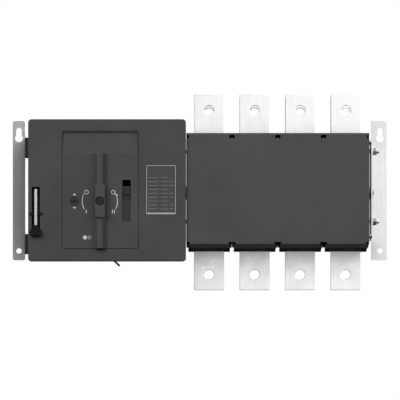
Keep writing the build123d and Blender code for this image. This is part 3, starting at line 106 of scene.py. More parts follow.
# ---------------------------------------------------------------------------
# Node graphs
# ---------------------------------------------------------------------------
class Graph:
    """The node tree of one finish, built from its place on the object outwards."""

    def __init__(self, name):
        self.material = bpy.data.materials.new(name)
        self.material.use_nodes = True
        self.nodes = self.material.node_tree.nodes
        self.links = self.material.node_tree.links
        self.shader = self.nodes["Principled BSDF"]
        self.place = self.add("ShaderNodeTexCoord").outputs["Object"]

    def add(self, kind, **sockets):
        """A node whose input sockets are set by name, spaces written as underscores."""
        node = self.nodes.new(kind)
        for name, value in sockets.items():
            self.feed(node.inputs[name.replace("_", " ")], value)
        return node

    def feed(self, socket, value):
        """Links an output to a socket, or sets the socket to a plain value."""
        if isinstance(value, bpy.types.NodeSocket):
            self.links.new(value, socket)
        else:
            socket.default_value = value

    def stretched(self, x, y, z):
        """The place on the object, stretched so that a pattern runs along an axis."""
        mapping = self.add("ShaderNodeMapping", Vector=self.place)
        mapping.inputs["Scale"].default_value = (x, y, z)
        return mapping.outputs["Vector"]

    def noise(self, scale, detail=3.0, vector=None, roughness=0.55):
        """Soft noise, its scale in cycles a metre."""
        node = self.add("ShaderNodeTexNoise", Scale=scale, Detail=detail, Roughness=roughness)
        self.links.new(vector or self.place, node.inputs["Vector"])
        return node.outputs["Fac"]

    def cells(self, scale):
        """Cell noise, for the spangle of plated sheet."""
        node = self.add("ShaderNodeTexVoronoi", Scale=scale, Vector=self.place)
        return node.outputs["Distance"]

    def span(self, value, low, high, to_low=0.0, to_high=1.0):
        """A value carried from one range to another, held at the ends."""
        node = self.nodes.new("ShaderNodeMapRange")
        node.clamp = True
        self.feed(node.inputs[0], value)
        for socket, number in zip(node.inputs[1:5], (low, high, to_low, to_high)):
            socket.default_value = number
        return node.outputs[0]

    def times(self, one, other):
        """Two values multiplied."""
        node = self.nodes.new("ShaderNodeMath")
        node.operation = "MULTIPLY"
        self.feed(node.inputs[0], one)
        self.feed(node.inputs[1], other)
        return node.outputs[0]

    def mix(self, factor, one, other):
        """Two colours mixed by a factor."""
        node = self.nodes.new("ShaderNodeMix")
        node.data_type = "RGBA"
        self.feed(node.inputs["Factor"], factor)
        colour_inputs = [socket for socket in node.inputs if socket.type == "RGBA"]
        for socket, value in zip(colour_inputs, (one, other)):
            self.feed(socket, value)
        return next(socket for socket in node.outputs if socket.type == "RGBA")

    def edges(self, radius):
        """1 along convex and concave edges, 0 on open faces."""
        bevel = self.add("ShaderNodeBevel", Radius=radius)
        bevel.samples = 4
        normal = self.add("ShaderNodeNewGeometry").outputs["Normal"]
        dot = self.nodes.new("ShaderNodeVectorMath")
        dot.operation = "DOT_PRODUCT"
        self.links.new(bevel.outputs["Normal"], dot.inputs[0])
        self.links.new(normal, dot.inputs[1])
        return self.span(dot.outputs["Value"], 0.995, 0.80)

    def corners(self, distance):
        """1 deep in corners and grooves, 0 on open faces, taken from ambient occlusion; the
        finishes paint shade with it.
        """
        shade = self.add("ShaderNodeAmbientOcclusion", Distance=distance)
        shade.samples = 4
        return self.span(shade.outputs["AO"], 0.75, 0.25)

    def bump(self, height, depth, strength=1.0):
        """Puts a height pattern of a real depth into the shader's normal."""
        node = self.add("ShaderNodeBump", Strength=strength, Distance=depth, Height=height)
        self.links.new(node.outputs["Normal"], self.shader.inputs["Normal"])

    def finish(self, colour, roughness, metallic=0.0, specular=0.5):
        """Feeds the shader and hands the finish back."""
        self.feed(self.shader.inputs["Base Color"], colour)
        self.feed(self.shader.inputs["Roughness"], roughness)
        self.shader.inputs["Metallic"].default_value = metallic
        self.shader.inputs["Specular IOR Level"].default_value = specular
        return self.material


def shade(colour, amount):
    """A colour made lighter or darker, as the four numbers that a socket takes."""
    return (*(min(1.0, part * amount) for part in colour[:3]), 1.0)


def moulded(name, colour, roughness=0.55, grain=1.0, wear=0.5, specular=0.2):
    """Moulded plastic: an eroded skin, slow tone changes, rubbed edges and painted shade in the
    corners.
    """
    g = Graph(name)
    slow = g.span(g.noise(11.0, 3.0), 0.35, 0.65)
    speck = g.span(g.noise(900.0, 2.0), 0.38, 0.62)
    tone = g.mix(slow, shade(colour, 0.90), shade(colour, 1.10))
    tone = g.mix(g.times(speck, 0.35), tone, shade(colour, 1.35))
    rubbed = g.times(g.edges(0.9 * MM), g.span(g.noise(160.0, 4.0), 0.40, 0.66))
    tone = g.mix(g.times(rubbed, wear), tone, shade(colour, 3.2))
    # painted shade: corners and grooves darkened where occlusion is
    tone = g.mix(g.times(g.corners(5 * MM), 0.6), tone, shade(colour, 0.45))
    handled = g.span(g.noise(26.0, 4.0), 0.35, 0.70, roughness - 0.07, roughness + 0.09)
    g.bump(g.noise(1400.0, 3.0, roughness=0.7), 0.06 * MM * grain, 0.8)
    return g.finish(tone, handled, specular=specular)


def plated(name, colour, roughness=0.42, line=(1.0, 1.0, 1.0), spangle=0.3):
    """Zinc-plated steel: faint rolling lines, a soft spangle, a painted highlight along every
    edge and painted shade in the corners.
    """
    g = Graph(name)
    rolled = g.noise(420.0, 3.0, g.stretched(*line))
    flowers = g.span(g.cells(95.0), 0.0, 0.9)
    tone = g.mix(g.span(rolled, 0.3, 0.7), shade(colour, 0.90), shade(colour, 1.06))
    tone = g.mix(g.times(flowers, spangle), tone, shade(colour, 0.84))
    bloom = g.span(g.noise(17.0, 5.0), 0.52, 0.78)
    tone = g.mix(g.times(bloom, 0.35), tone, shade(colour, 0.80))
    # painted highlight: every edge, convex and concave, made brighter
    tone = g.mix(g.times(g.edges(0.6 * MM), 0.55), tone, shade(colour, 1.35))
    # painted shade: corners and grooves darkened where occlusion is
    tone = g.mix(g.times(g.corners(4 * MM), 0.5), tone, shade(colour, 0.40))
    dull = g.span(rolled, 0.25, 0.75, roughness - 0.08, roughness + 0.12)
    g.bump(rolled, 0.02 * MM, 0.6)
    return g.finish(tone, dull, metallic=1.0)


def tinned(name, colour, roughness=0.29):
    """Tinned copper bar: drawn lines along its length, cloudy tin, a few rub marks, a faint
    painted highlight along the edges and painted shade in the corners.
    """
    g = Graph(name)
    drawn = g.noise(650.0, 2.0, g.stretched(1.0, 1.0, 0.04))
    cloudy = g.span(g.noise(38.0, 5.0), 0.40, 0.70)
    rubs = g.span(g.noise(240.0, 6.0, g.stretched(0.5, 1.0, 1.6)), 0.62, 0.72)
    tone = g.mix(g.span(drawn, 0.3, 0.7), shade(colour, 0.95), shade(colour, 1.04))
    tone = g.mix(g.times(cloudy, 0.22), tone, shade(colour, 0.90))
    tone = g.mix(g.times(rubs, 0.18), tone, shade(colour, 0.70))
    # painted highlight: every edge, convex and concave, made a little brighter
    tone = g.mix(g.times(g.edges(0.5 * MM), 0.4), tone, shade(colour, 1.08))
    # painted shade: corners and grooves darkened where occlusion is
    tone = g.mix(g.times(g.corners(3 * MM), 0.4), tone, shade(colour, 0.50))
    dull = g.span(cloudy, 0.0, 1.0, roughness - 0.02, roughness + 0.05)
    g.bump(drawn, 0.015 * MM, 0.5)
    return g.finish(tone, dull, metallic=1.0)


def machined(name, colour, roughness=0.30, turned=(1.0, 1.0, 1.0)):
    """Cut steel or copper: tool lines, an oily film and a painted highlight along the edges."""
    g = Graph(name)
    lines = g.noise(900.0, 2.0, g.stretched(*turned))
    film = g.span(g.noise(45.0, 5.0), 0.45, 0.75)
    tone = g.mix(g.span(lines, 0.3, 0.7), shade(colour, 0.85), shade(colour, 1.10))
    tone = g.mix(g.times(film, 0.4), tone, shade(colour, 0.62))
    # painted highlight: every edge, convex and concave, made brighter
    tone = g.mix(g.times(g.edges(0.4 * MM), 0.6), tone, shade(colour, 1.45))
    dull = g.span(film, 0.0, 1.0, roughness, roughness + 0.22)
    g.bump(lines, 0.02 * MM, 0.7)
    return g.finish(tone, dull, metallic=1.0)


def printed(name, colour, worn=0.35):
    """Screen-printed ink: a little uneven, thinner in patches, on a matt skin."""
    g = Graph(name)
    thin = g.span(g.noise(420.0, 4.0), 0.42, 0.62)
    tone = g.mix(g.times(thin, worn), shade(colour, 1.0), shade(colour, 0.62))
    dull = g.span(g.noise(70.0, 3.0), 0.3, 0.7, 0.50, 0.66)
    g.bump(g.noise(1500.0, 2.0), 0.02 * MM, 0.5)
    return g.finish(tone, dull, specular=0.3)


# ---------------------------------------------------------------------------
# Mesh helpers
# ---------------------------------------------------------------------------
def placed(name, mesh, finish, body):
    """Puts a mesh in the scene as a piece that rides on a body."""
    mesh.materials.clear()
    mesh.materials.append(finish)
    piece = bpy.data.objects.new(name, mesh)
    bpy.context.scene.collection.objects.link(piece)
    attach(piece, body)
    return piece


def coat(node, finish):
    """Gives a CAD node its finish and leaves its shape alone."""
    for socket in frame["nodes"][node].material_slots:
        socket.material = finish


def eased(node, width, finish, segments=2):
    """Replaces a node with a copy of its shape that has its sharp edges rounded."""
    mesh = frame["nodes"][node].data.copy()
    work = bmesh.new()
    work.from_mesh(mesh)
    bmesh.ops.remove_doubles(work, verts=work.verts, dist=0.002 * MM)
    bmesh.ops.dissolve_limit(work, angle_limit=math.radians(0.6), verts=work.verts,
                             edges=work.edges)
    sharp = [edge for edge in work.edges
             if edge.is_manifold and edge.calc_face_angle(0.0) > SHARP]
    bmesh.ops.bevel(work, geom=sharp, offset=width, offset_type="OFFSET", segments=segments,
                    profile=0.5, affect="EDGES", clamp_overlap=True)
    for face in work.faces:
        face.smooth = face.calc_area() < LARGEST_CURVED_FACE
    for edge in work.edges:
        edge.smooth = edge.calc_face_angle(0.0) < CREASE
    work.to_mesh(mesh)
    work.free()
    piece = placed(f"eased_{node}", mesh, finish, body_of(node))
    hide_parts(node)


def slab(work, outline, y_front, thickness):
    """A flat closed slab whose outline is in the X-Z plane, added to a mesh being built."""
    rings = []
    for y in (y_front, y_front + thickness):
        rings.append([work.verts.new((x, y, z)) for x, z in outline])
    front, back = rings
    work.faces.new(front)
    work.faces.new(list(reversed(back)))
    for i in range(len(outline)):
        j = (i + 1) % len(outline)
        work.faces.new((front[j], front[i], back[i], back[j]))


def band(work, path, width, y_front, thickness, closed=False):
    """A strip of even width along a path in the X-Z plane, added to a mesh being built."""
    count = len(path)
    left, right = [], []
    for i, (x, z) in enumerate(path):
        before = path[(i - 1) % count] if closed or i else path[i]
        after = path[(i + 1) % count] if closed or i < count - 1 else path[i]
        along = Vector((after[0] - before[0], after[1] - before[1])).normalized()
        side = Vector((-along.y, along.x)) * width / 2
        left.append((x + side.x, z + side.y))
        right.append((x - side.x, z - side.y))
    rows = []
    for i in range(count):
        rows.append([work.verts.new((p[0], y, p[1]))
                     for p, y in ((left[i], y_front), (right[i], y_front),
                                  (right[i], y_front + thickness),
                                  (left[i], y_front + thickness))])
    last = count if closed else count - 1
    for i in range(last):
        here, there = rows[i], rows[(i + 1) % count]
        for k in range(4):
            n = (k + 1) % 4
            work.faces.new((here[k], here[n], there[n], there[k]))
    if not closed:
        work.faces.new(list(reversed(rows[0])))
        work.faces.new(rows[-1])


def arc_points(x, z, radius, start, end, steps=24):
    """Points on an arc in the X-Z plane, its angles in degrees from +X towards +Z."""
    points = []
    for i in range(steps + 1):
        angle = math.radians(start + (end - start) * i / steps)
        points.append((x + radius * math.cos(angle), z + radius * math.sin(angle)))
    return points


def ring_points(x, z, radius, steps=32):
    """Points round a circle in the X-Z plane."""
    return arc_points(x, z, radius, 0.0, 360.0 * (steps - 1) / steps, steps - 1)


def rounded_rectangle(x, z, width, height, radius, steps=5):
    """The outline of a rectangle with round corners in the X-Z plane."""
    points = []
    for corner, (sx, sz) in enumerate(((1, 1), (-1, 1), (-1, -1), (1, -1))):
        cx, cz = x + sx * (width / 2 - radius), z + sz * (height / 2 - radius)
        points += arc_points(cx, cz, radius, 90 * corner, 90 * corner + 90, steps)
    return points


def closed_mesh(work, name):
    """Turns a mesh being built into mesh data with its faces turned outwards."""
    bmesh.ops.recalc_face_normals(work, faces=work.faces)
    mesh = bpy.data.meshes.new(name)
    work.to_mesh(mesh)
    work.free()
    return mesh


# ---------------------------------------------------------------------------
# Sizes and colours a user would change
# ---------------------------------------------------------------------------
def colour_property(name, description, default):
    """A colour that shows as a swatch in the sidebar."""
    return bpy.props.FloatVectorProperty(name=name, description=description, default=default,
                                         subtype="COLOR", size=3, min=0.0, max=1.0)


def length_property(name, description, default):
    """A length in metres."""
    return bpy.props.FloatProperty(name=name, description=description, default=default,
                                   subtype="DISTANCE", unit="LENGTH", precision=5)


class MouldingSettings(bpy.types.PropertyGroup):
    """Colours and surface of the moulded parts."""

    cover_colour: colour_property("Cover", "Colour of the mechanism cover", (0.048, 0.048, 0.050))
    panel_colour: colour_property("Panel", "Colour of the inset panel", (0.048, 0.048, 0.050))
    pole_colour: colour_property("Poles", "Colour of the pole mouldings", (0.053, 0.053, 0.055))
    shell_colour: colour_property("Shells", "Colour of the pole shells", (0.009, 0.009, 0.010))
    housing_colour: colour_property("Housing", "Colour of the mechanism housing",
                                    (0.024, 0.024, 0.026))
    handle_colour: colour_property("Handle", "Colour of the bar handle", (0.049, 0.049, 0.051))
    control_colour: colour_property("Controls", "Colour of the small controls",
                                    (0.008, 0.008, 0.009))
    edge_wear: bpy.props.FloatProperty(name="Edge wear", default=0.35, min=0.0, max=1.0,
                                       description="How far the edges are rubbed pale",
                                       subtype="FACTOR")
    easing: length_property("Edge easing", "Radius on the moulded edges", 0.6 * MM)


class MetalSettings(bpy.types.PropertyGroup):
    """Colours and edges of the metal parts."""

    sheet_colour: colour_property("Sheet", "Colour of the plated sheet", (0.80, 0.80, 0.81))
    bar_colour: colour_property("Bars", "Colour of the tinned bars", (0.86, 0.852, 0.848))
    steel_colour: colour_property("Steel", "Colour of the machined steel", (0.42, 0.42, 0.43))
    copper_colour: colour_property("Copper", "Colour of the bare copper", (0.80, 0.42, 0.28))
    bar_easing: length_property("Bar easing", "Radius on the bars' edges", 0.5 * MM)
    sheet_easing: length_property("Sheet easing", "Radius on the sheet's edges", 0.3 * MM)
    thread_pitch: length_property("Thread pitch", "Pitch of the tie rod thread", 1.0 * MM)
    nut_thickness: length_property("Nut", "Thickness of the tie rod nuts", 5.0 * MM)


class PrintSettings(bpy.types.PropertyGroup):
    """Sizes and colours of the printed marks and the rating plate."""

    ink_colour: colour_property("Ink", "Colour of the printed marks", (0.50, 0.50, 0.50))
    plate_ink: colour_property("Plate ink", "Colour of the plate's border", (0.40, 0.40, 0.40))
    line_width: length_property("Line width", "Width of the printed lines", 0.95 * MM)
    ink_thickness: length_property("Ink thickness", "Height of the ink", 0.08 * MM)
    dial_radius: length_property("Dial radius", "Radius of the position arcs", 25.0 * MM)


class StageSettings(bpy.types.PropertyGroup):
    """Camera, floor and lights."""

    tilt: bpy.props.FloatProperty(name="Tilt", description="How far the camera looks up",
                                  default=math.radians(2.2), subtype="ANGLE", unit="ROTATION")
    lens: bpy.props.FloatProperty(name="Lens", description="Focal length in millimetres",
                                  default=1400.0)
    picture_width: length_property("Picture width", "Width seen at the cover's face", 0.5676)
    floor_drop: length_property("Floor drop", "Height of the floor below the switch", 1.0)
    floor_colour: colour_property("Floor", "Colour of the floor", (0.86, 0.86, 0.86))
    key_power: bpy.props.FloatProperty(name="Key light", description="Power of the key light",
                                       default=48.0, unit="POWER")
    card_power: bpy.props.FloatProperty(name="Card", description="Power of the card that the "
                                        "metal mirrors", default=8.5, unit="POWER")


# ---------------------------------------------------------------------------
# Mouldings
# ---------------------------------------------------------------------------
class SWITCH_OT_cover(bpy.types.Operator):
    """Finish the cover, the inset panel and the mechanism housing"""

    bl_idname = "switch.cover"
    bl_label = "Cover and panel"

    def execute(self, context):
        look = context.scene.switch_mouldings
        cover = moulded("cover_moulding", look.cover_colour, wear=look.edge_wear)
        panel = moulded("panel_moulding", look.panel_colour, 0.50, wear=look.edge_wear)
        housing = moulded("housing_moulding", look.housing_colour, 0.62, wear=look.edge_wear)
        coat("front_cover", cover)
        coat("front_panel", panel)
        eased("mechanism_housing", look.easing, housing)
        return {"FINISHED"}


class SWITCH_OT_poles(bpy.types.Operator):
    """Finish the pole shells and the long pole cover"""

    bl_idname = "switch.poles"
    bl_label = "Poles"

    def execute(self, context):
        look = context.scene.switch_mouldings
        cover = moulded("pole_cover_moulding", look.pole_colour, wear=look.edge_wear)
        shell = moulded("pole_moulding", look.shell_colour, 0.72, wear=look.edge_wear,
                        specular=0.03)
        coat("pole_front_cover", cover)
        for node in SHELLS:
            eased(node, look.easing, shell)
        return {"FINISHED"}


class SWITCH_OT_handle(bpy.types.Operator):
    """Round and finish the bar handle and its screw"""

    bl_idname = "switch.handle"
    bl_label = "Bar handle"

    def execute(self, context):
        look = context.scene.switch_mouldings
        satin = moulded("handle_moulding", look.handle_colour, 0.58, 0.6, look.edge_wear, 0.2)
        eased("operating_handle", look.easing, satin, 3)
        coat("handle_screw", machined("screw_black", (0.05, 0.05, 0.052), 0.40))
        return {"FINISHED"}


class SWITCH_OT_controls(bpy.types.Operator):
    """Finish the selector, the lock barrel, the stowed key and the release lever"""

    bl_idname = "switch.controls"
    bl_label = "Small controls"

    def execute(self, context):
        look = context.scene.switch_mouldings
        metal = context.scene.switch_metal
        black = moulded("control_moulding", look.control_colour, 0.55, 0.5, look.edge_wear, 0.1)
        barrel = moulded("barrel_moulding", shade(look.control_colour, 3.2), 0.45, 0.5,
                         look.edge_wear)
        coat("selector_slider", moulded("slider_moulding", shade(look.control_colour, 2.5), 0.5,
                                        0.5, look.edge_wear))
        coat("lock_barrel", barrel)
        # painted shade: a darker copy of the panel colour laid in the sunk track
        self.painted_track_shade(shade(look.panel_colour, 0.66))
        eased("key_grip", 0.3 * MM, black)
        coat("key_clip", black)
        coat("key_shaft", plated("key_steel", metal.sheet_colour, 0.36, (1.0, 1.0, 0.05), 0.1))
        coat("release_lever", machined("lever_steel", (0.045, 0.045, 0.047), 0.35))
        return {"FINISHED"}

    def painted_track_shade(self, colour):
        """A strip in a darker copy of the panel colour on the floor of the track below the
        selector's slot: painted shade for the sunk track.
        """
        width, length, depth, thick = 11.6 * MM, 29.2 * MM, 1.35 * MM, 0.05 * MM
        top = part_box("selector_slider")[0][2] - 0.9 * MM
        strip = rounded_rectangle(centre_of("selector_slider").x, top - length / 2, width, length,
                                  0.5 * MM, 3)
        work = bmesh.new()
        slab(work, strip, front_of("front_cover") + depth, thick)
        placed("painted_track_shade", closed_mesh(work, "painted_track_shade"),
               moulded("painted_track_shade", colour, 0.7, 0.6, 0.1, 0.1),
               body_of("front_panel"))


# ---------------------------------------------------------------------------
# Metalwork
# ---------------------------------------------------------------------------
class SWITCH_OT_bars(bpy.types.Operator):
    """Ease and finish the bolt-on bars and the contacts behind them"""

    bl_idname = "switch.bars"
    bl_label = "Bars and contacts"

    def execute(self, context):
        metal = context.scene.switch_metal
        tin = tinned("tinned_copper", metal.bar_colour)
        copper = machined("bare_copper", metal.copper_colour, 0.32, (1.0, 1.0, 0.1))
        silver = machined("silver_pad", (0.88, 0.87, 0.84), 0.28)
        for node in BARS:
            eased(node, metal.bar_easing, tin)
        for number in (1, 2):
            coat(f"contact_blades_{number}", copper)
        coat("contact_pads", silver)
        return {"FINISHED"}


class SWITCH_OT_sheet(bpy.types.Operator):
    """Ease and finish the feet and the sheet-metal plates"""

    bl_idname = "switch.sheet"
    bl_label = "Feet and plates"

    def execute(self, context):
        metal = context.scene.switch_metal
        zinc = plated("zinc_sheet", metal.sheet_colour, 0.44, (1.0, 1.0, 0.05))
        for node in ("left_foot", "right_bracket", "inner_plate"):
            eased(node, metal.sheet_easing, zinc)
        for node in ("gear_bulkhead", "spindle_bridge"):
            coat(node, zinc)
        return {"FINISHED"}


def hexagon_nut(work, x, y, z, bore, flats, thickness):
    """A nut along X with chamfered corners and a bevelled bore, added to a mesh being built."""
    steps = 36
    corner = flats / 2 / math.cos(math.pi / 6)
    chamfer = 0.6 * MM
    mouth, mouth_depth = bore + 0.4 * MM, 0.5 * MM
    largest_round = bore + 1 * MM
    sections = [(x, mouth), (x, flats / 2), (x + chamfer, corner),
                (x + thickness - chamfer, corner), (x + thickness, flats / 2),
                (x + thickness, mouth), (x + thickness - mouth_depth, bore),
                (x + mouth_depth, bore)]
    rings = []
    for place_x, limit in sections:
        ring = []
        for i in range(steps):
            angle = 2 * math.pi * i / steps
            # the angle from the middle of the nearest flat
            local = (angle + math.pi / 6) % (math.pi / 3) - math.pi / 6
            flat = flats / 2 / math.cos(local)
            radius = min(limit, flat) if limit > largest_round else limit
            ring.append(work.verts.new((place_x, y + radius * math.sin(angle),
                                        z + radius * math.cos(angle))))
        rings.append(ring)
    for k, ring in enumerate(rings):
        following = rings[(k + 1) % len(rings)]
        for i in range(steps):
            j = (i + 1) % steps
            work.faces.new((ring[i], ring[j], following[j], following[i]))


def threaded_rod(work, start, end, y, z, radius, pitch, threaded):
    """A rod along X with a helical thread at both ends, added to a mesh being built."""
    around = 24
    step = pitch / 6
    depth = 0.12 * pitch
    taper_length, taper_depth = 0.8 * MM, 0.4 * MM
    places = [start]
    while places[-1] < start + threaded:
        places.append(places[-1] + step)
    places += [start + end - place for place in reversed(places)]
    rings = []
    for place in places:
        ring = []
        for i in range(around):
            phase = (place / pitch + i / around) % 1.0
            from_end = min(place - start, end - place)
            ridge = depth * abs(2 * phase - 1) * min(1.0, from_end / pitch)
            taper = taper_depth * max(0.0, 1 - from_end / taper_length)
            angle = 2 * math.pi * i / around
            reach = radius - 2 * ridge - taper
            ring.append(work.verts.new((place, y + reach * math.sin(angle),
                                        z + reach * math.cos(angle))))
        rings.append(ring)
    for ring, following in zip(rings, rings[1:]):
        for i in range(around):
            j = (i + 1) % around
            work.faces.new((ring[i], ring[j], following[j], following[i]))
    work.faces.new(rings[0])
    work.faces.new(list(reversed(rings[-1])))


class SWITCH_OT_fasteners(bpy.types.Operator):
    """Make the threaded tie rods and chamfered nuts, and finish the screws and washers"""

    bl_idname = "switch.fasteners"
    bl_label = "Fasteners"

    def execute(self, context):
        metal = context.scene.switch_metal
        zinc = plated("zinc_fastener", shade(metal.sheet_colour, 0.74), 0.2, spangle=0.1)
        dark = machined("screw_steel", (0.10, 0.10, 0.105), 0.38)
        for node in ("tie_rod_washers", "foot_screws", "frame_screws"):
            coat(node, zinc)
        coat("cover_screws", dark)

        rod_low, rod_high = (Vector(corner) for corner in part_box("tie_rods"))
        nut_low, nut_high = (Vector(corner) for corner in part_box("tie_rod_nuts"))
        radius = (rod_high.y - rod_low.y) / 2
        y = (rod_low.y + rod_high.y) / 2
        heights = (rod_low.z + radius, rod_high.z - radius)
        thread_length = 9 * MM
        rods = bmesh.new()
        for z in heights:
            threaded_rod(rods, rod_low.x, rod_high.x, y, z, radius, metal.thread_pitch,
                         thread_length)
        piece = placed("threaded_tie_rods", closed_mesh(rods, "threaded_tie_rods"), zinc,
                       body_of("tie_rods"))
        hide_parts("tie_rods")

        flats = nut_high.y - nut_low.y
        thickness = metal.nut_thickness
        bore = radius + 0.05 * MM
        nuts = bmesh.new()
        for z in heights:
            for x in (nut_low.x, nut_high.x - thickness):
                hexagon_nut(nuts, x, y, z, bore, flats, thickness)
        piece = placed("chamfered_nuts", closed_mesh(nuts, "chamfered_nuts"), zinc,
                       body_of("tie_rod_nuts"))
        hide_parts("tie_rod_nuts")
        return {"FINISHED"}


class SWITCH_OT_mechanism(bpy.types.Operator):
    """Finish the gears, the rack, the shafts and their bearings"""

    bl_idname = "switch.mechanism"
    bl_label = "Inner mechanism"

    def execute(self, context):
        metal = context.scene.switch_metal
        cut = machined("cut_steel", metal.steel_colour, 0.32, (0.2, 1.0, 1.0))
        nylon = moulded("bearing_nylon", (0.70, 0.68, 0.60), 0.45, 0.4, 0.1)
        maroon = moulded("rotor_moulding", (0.20, 0.050, 0.035), 0.50, 0.8, 0.3)
        steel = plated("arc_steel", (0.5, 0.5, 0.51), 0.40, (0.1, 1.0, 1.0), 0.1)
        for node in ("spindle", "spindle_pinion", "shift_rack", "sector_gear_1",
                     "sector_gear_2", "rotor_shaft_1", "rotor_shaft_2"):
            coat(node, cut)
        for node in ("shaft_bushes", "panel_bush"):
            coat(node, nylon)
        for number in (1, 2):
            coat(f"rotor_sleeves_{number}", maroon)
            coat(f"arc_plates_{number}", steel)
        return {"FINISHED"}


# ---------------------------------------------------------------------------
# Printing
# ---------------------------------------------------------------------------
class SWITCH_OT_marks(bpy.types.Operator):
    """Print the position marks round the handle, the lock and the padlock point"""

    bl_idname = "switch.marks"
    bl_label = "Position marks"

    def execute(self, context):
        look = context.scene.switch_print
        ink = printed("position_ink", look.ink_colour)
        thick, line = look.ink_thickness, look.line_width
        y = front_of("front_panel") - thick
        hub = centre_of("operating_handle")
        lock = centre_of("lock_barrel")
        radius = look.dial_radius

        def laid(name, work):
            placed(name, closed_mesh(work, name), ink,
                   body_of("front_panel"))

        # off rings, position arcs and the bars of positions I and II: side, name, the arc's
        # two angles and how far each bar is shifted
        ring_out, ring_up, ring_radius = 18.9 * MM, 12.7 * MM, 2.7 * MM
        bar_out, bar_down, bar_width, bar_height = 19.3 * MM, 14.8 * MM, 1.2 * MM, 5.4 * MM
        bar_shift = 1.3 * MM
        first = (-1, "first", (156, 207), (0.0,))
        second = (1, "second", (13, -26), (-bar_shift, bar_shift))
        for side, name, sweep, bars in (first, second):
            work = bmesh.new()
            ring = ring_points(hub.x + side * ring_out, hub.z + ring_up, ring_radius)
            band(work, ring, 0.9 * MM, y, thick, closed=True)
            band(work, arc_points(hub.x, hub.z, radius, *sweep), line, y, thick)
            for shift in bars:
                slab(work, rounded_rectangle(hub.x + side * bar_out + shift, hub.z - bar_down,
                                             bar_width, bar_height, 0.3 * MM, 2), y, thick)
            laid(f"{name}_position_marks", work)

        # arrowhead at the top of the second arc
        work = bmesh.new()
        tip_x, tip_z = hub.x + 23.6 * MM, hub.z + 8.2 * MM
        slab(work, [(tip_x - 2.6 * MM, tip_z + 3.2 * MM), (tip_x + 1.8 * MM, tip_z + 0.8 * MM),
                    (tip_x + 0.2 * MM, tip_z - 2.6 * MM)], y, thick)
        laid("turning_arrow", work)

        # triangles above and below the lock barrel
        work = bmesh.new()
        for side in (1, -1):
            base = lock.z + side * 8.3 * MM
            half = 2.6 * MM
            slab(work, [(lock.x - half, base), (lock.x + half, base),
                        (lock.x, base + side * half)], y, thick)
        laid("lock_triangles", work)

        # disc and small ring near the panel's lower left corner
        work = bmesh.new()
        low_x, low_z = hub.x - 21.1 * MM, hub.z - 51.6 * MM
        slab(work, ring_points(low_x, low_z, 2.9 * MM, 24), y, thick)
        band(work, ring_points(low_x + 6.2 * MM, low_z, 1.8 * MM, 20), 0.7 * MM, y, thick,
             closed=True)
        laid("padlock_mark", work)
        return {"FINISHED"}


class SWITCH_OT_plate(bpy.types.Operator):
    """Finish the blank rating plate and print its border and rules"""

    bl_idname = "switch.plate"
    bl_label = "Rating plate"

    def execute(self, context):
        look = context.scene.switch_print
        foil = moulded("label_foil", (0.050, 0.050, 0.053), 0.40, 0.3, 0.1)
        coat("label_plate", foil)
        ink = printed("plate_ink", look.plate_ink, 0.5)
        faint = printed("plate_rule_ink", shade(look.plate_ink, 0.60), 0.6)
        low, high = (Vector(corner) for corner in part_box("label_plate"))
        thick = 0.05 * MM
        y = low.y - thick
        centre = (low + high) / 2
        width, height = high.x - low.x, high.z - low.z
        work = bmesh.new()
        border = rounded_rectangle(centre.x, centre.z, width - 1.6 * MM, height - 1.6 * MM,
                                   0.8 * MM, 4)
        band(work, border, 0.7 * MM, y, thick, closed=True)
        slab(work, rounded_rectangle(centre.x, low.z + 1.9 * MM, width - 3.4 * MM, 1.6 * MM,
                                     0.3 * MM, 2), y, thick)
        placed("plate_border", closed_mesh(work, "plate_border"), ink,
               body_of("label_plate"))
        work = bmesh.new()
        rows = 9
        half_rule = 0.25 * MM
        top = high.z - 18.0 * MM
        drop = (top - low.z - 8.0 * MM) / (rows - 1)
        columns = ((3.0 * MM, 17.0 * MM), (21.5 * MM, 31.0 * MM), (33.0 * MM, 39.0 * MM))
        for row in range(rows):
            z = top - drop * row
            for start, end in columns[:3 if row % 3 else 2]:
                slab(work, [(low.x + start, z - half_rule), (low.x + end, z - half_rule),
                            (low.x + end, z + half_rule), (low.x + start, z + half_rule)],
                     y, thick)
        placed("plate_rules", closed_mesh(work, "plate_rules"), faint,
               body_of("label_plate"))
        return {"FINISHED"}


# ---------------------------------------------------------------------------
# Stage
# ---------------------------------------------------------------------------
def softbox(name, place, target, width, height, power):
    """A flat soft light aimed at a point."""
    data = bpy.data.lights.new(name, "AREA")
    data.shape = "RECTANGLE"
    data.size = width
    data.size_y = height
    data.energy = power
    lamp = bpy.data.objects.new(name, data)
    bpy.context.scene.collection.objects.link(lamp)
    lamp.location = place
    lamp.rotation_euler = (target - Vector(place)).to_track_quat("-Z", "Y").to_euler()
    lamp.visible_camera = False
    return lamp


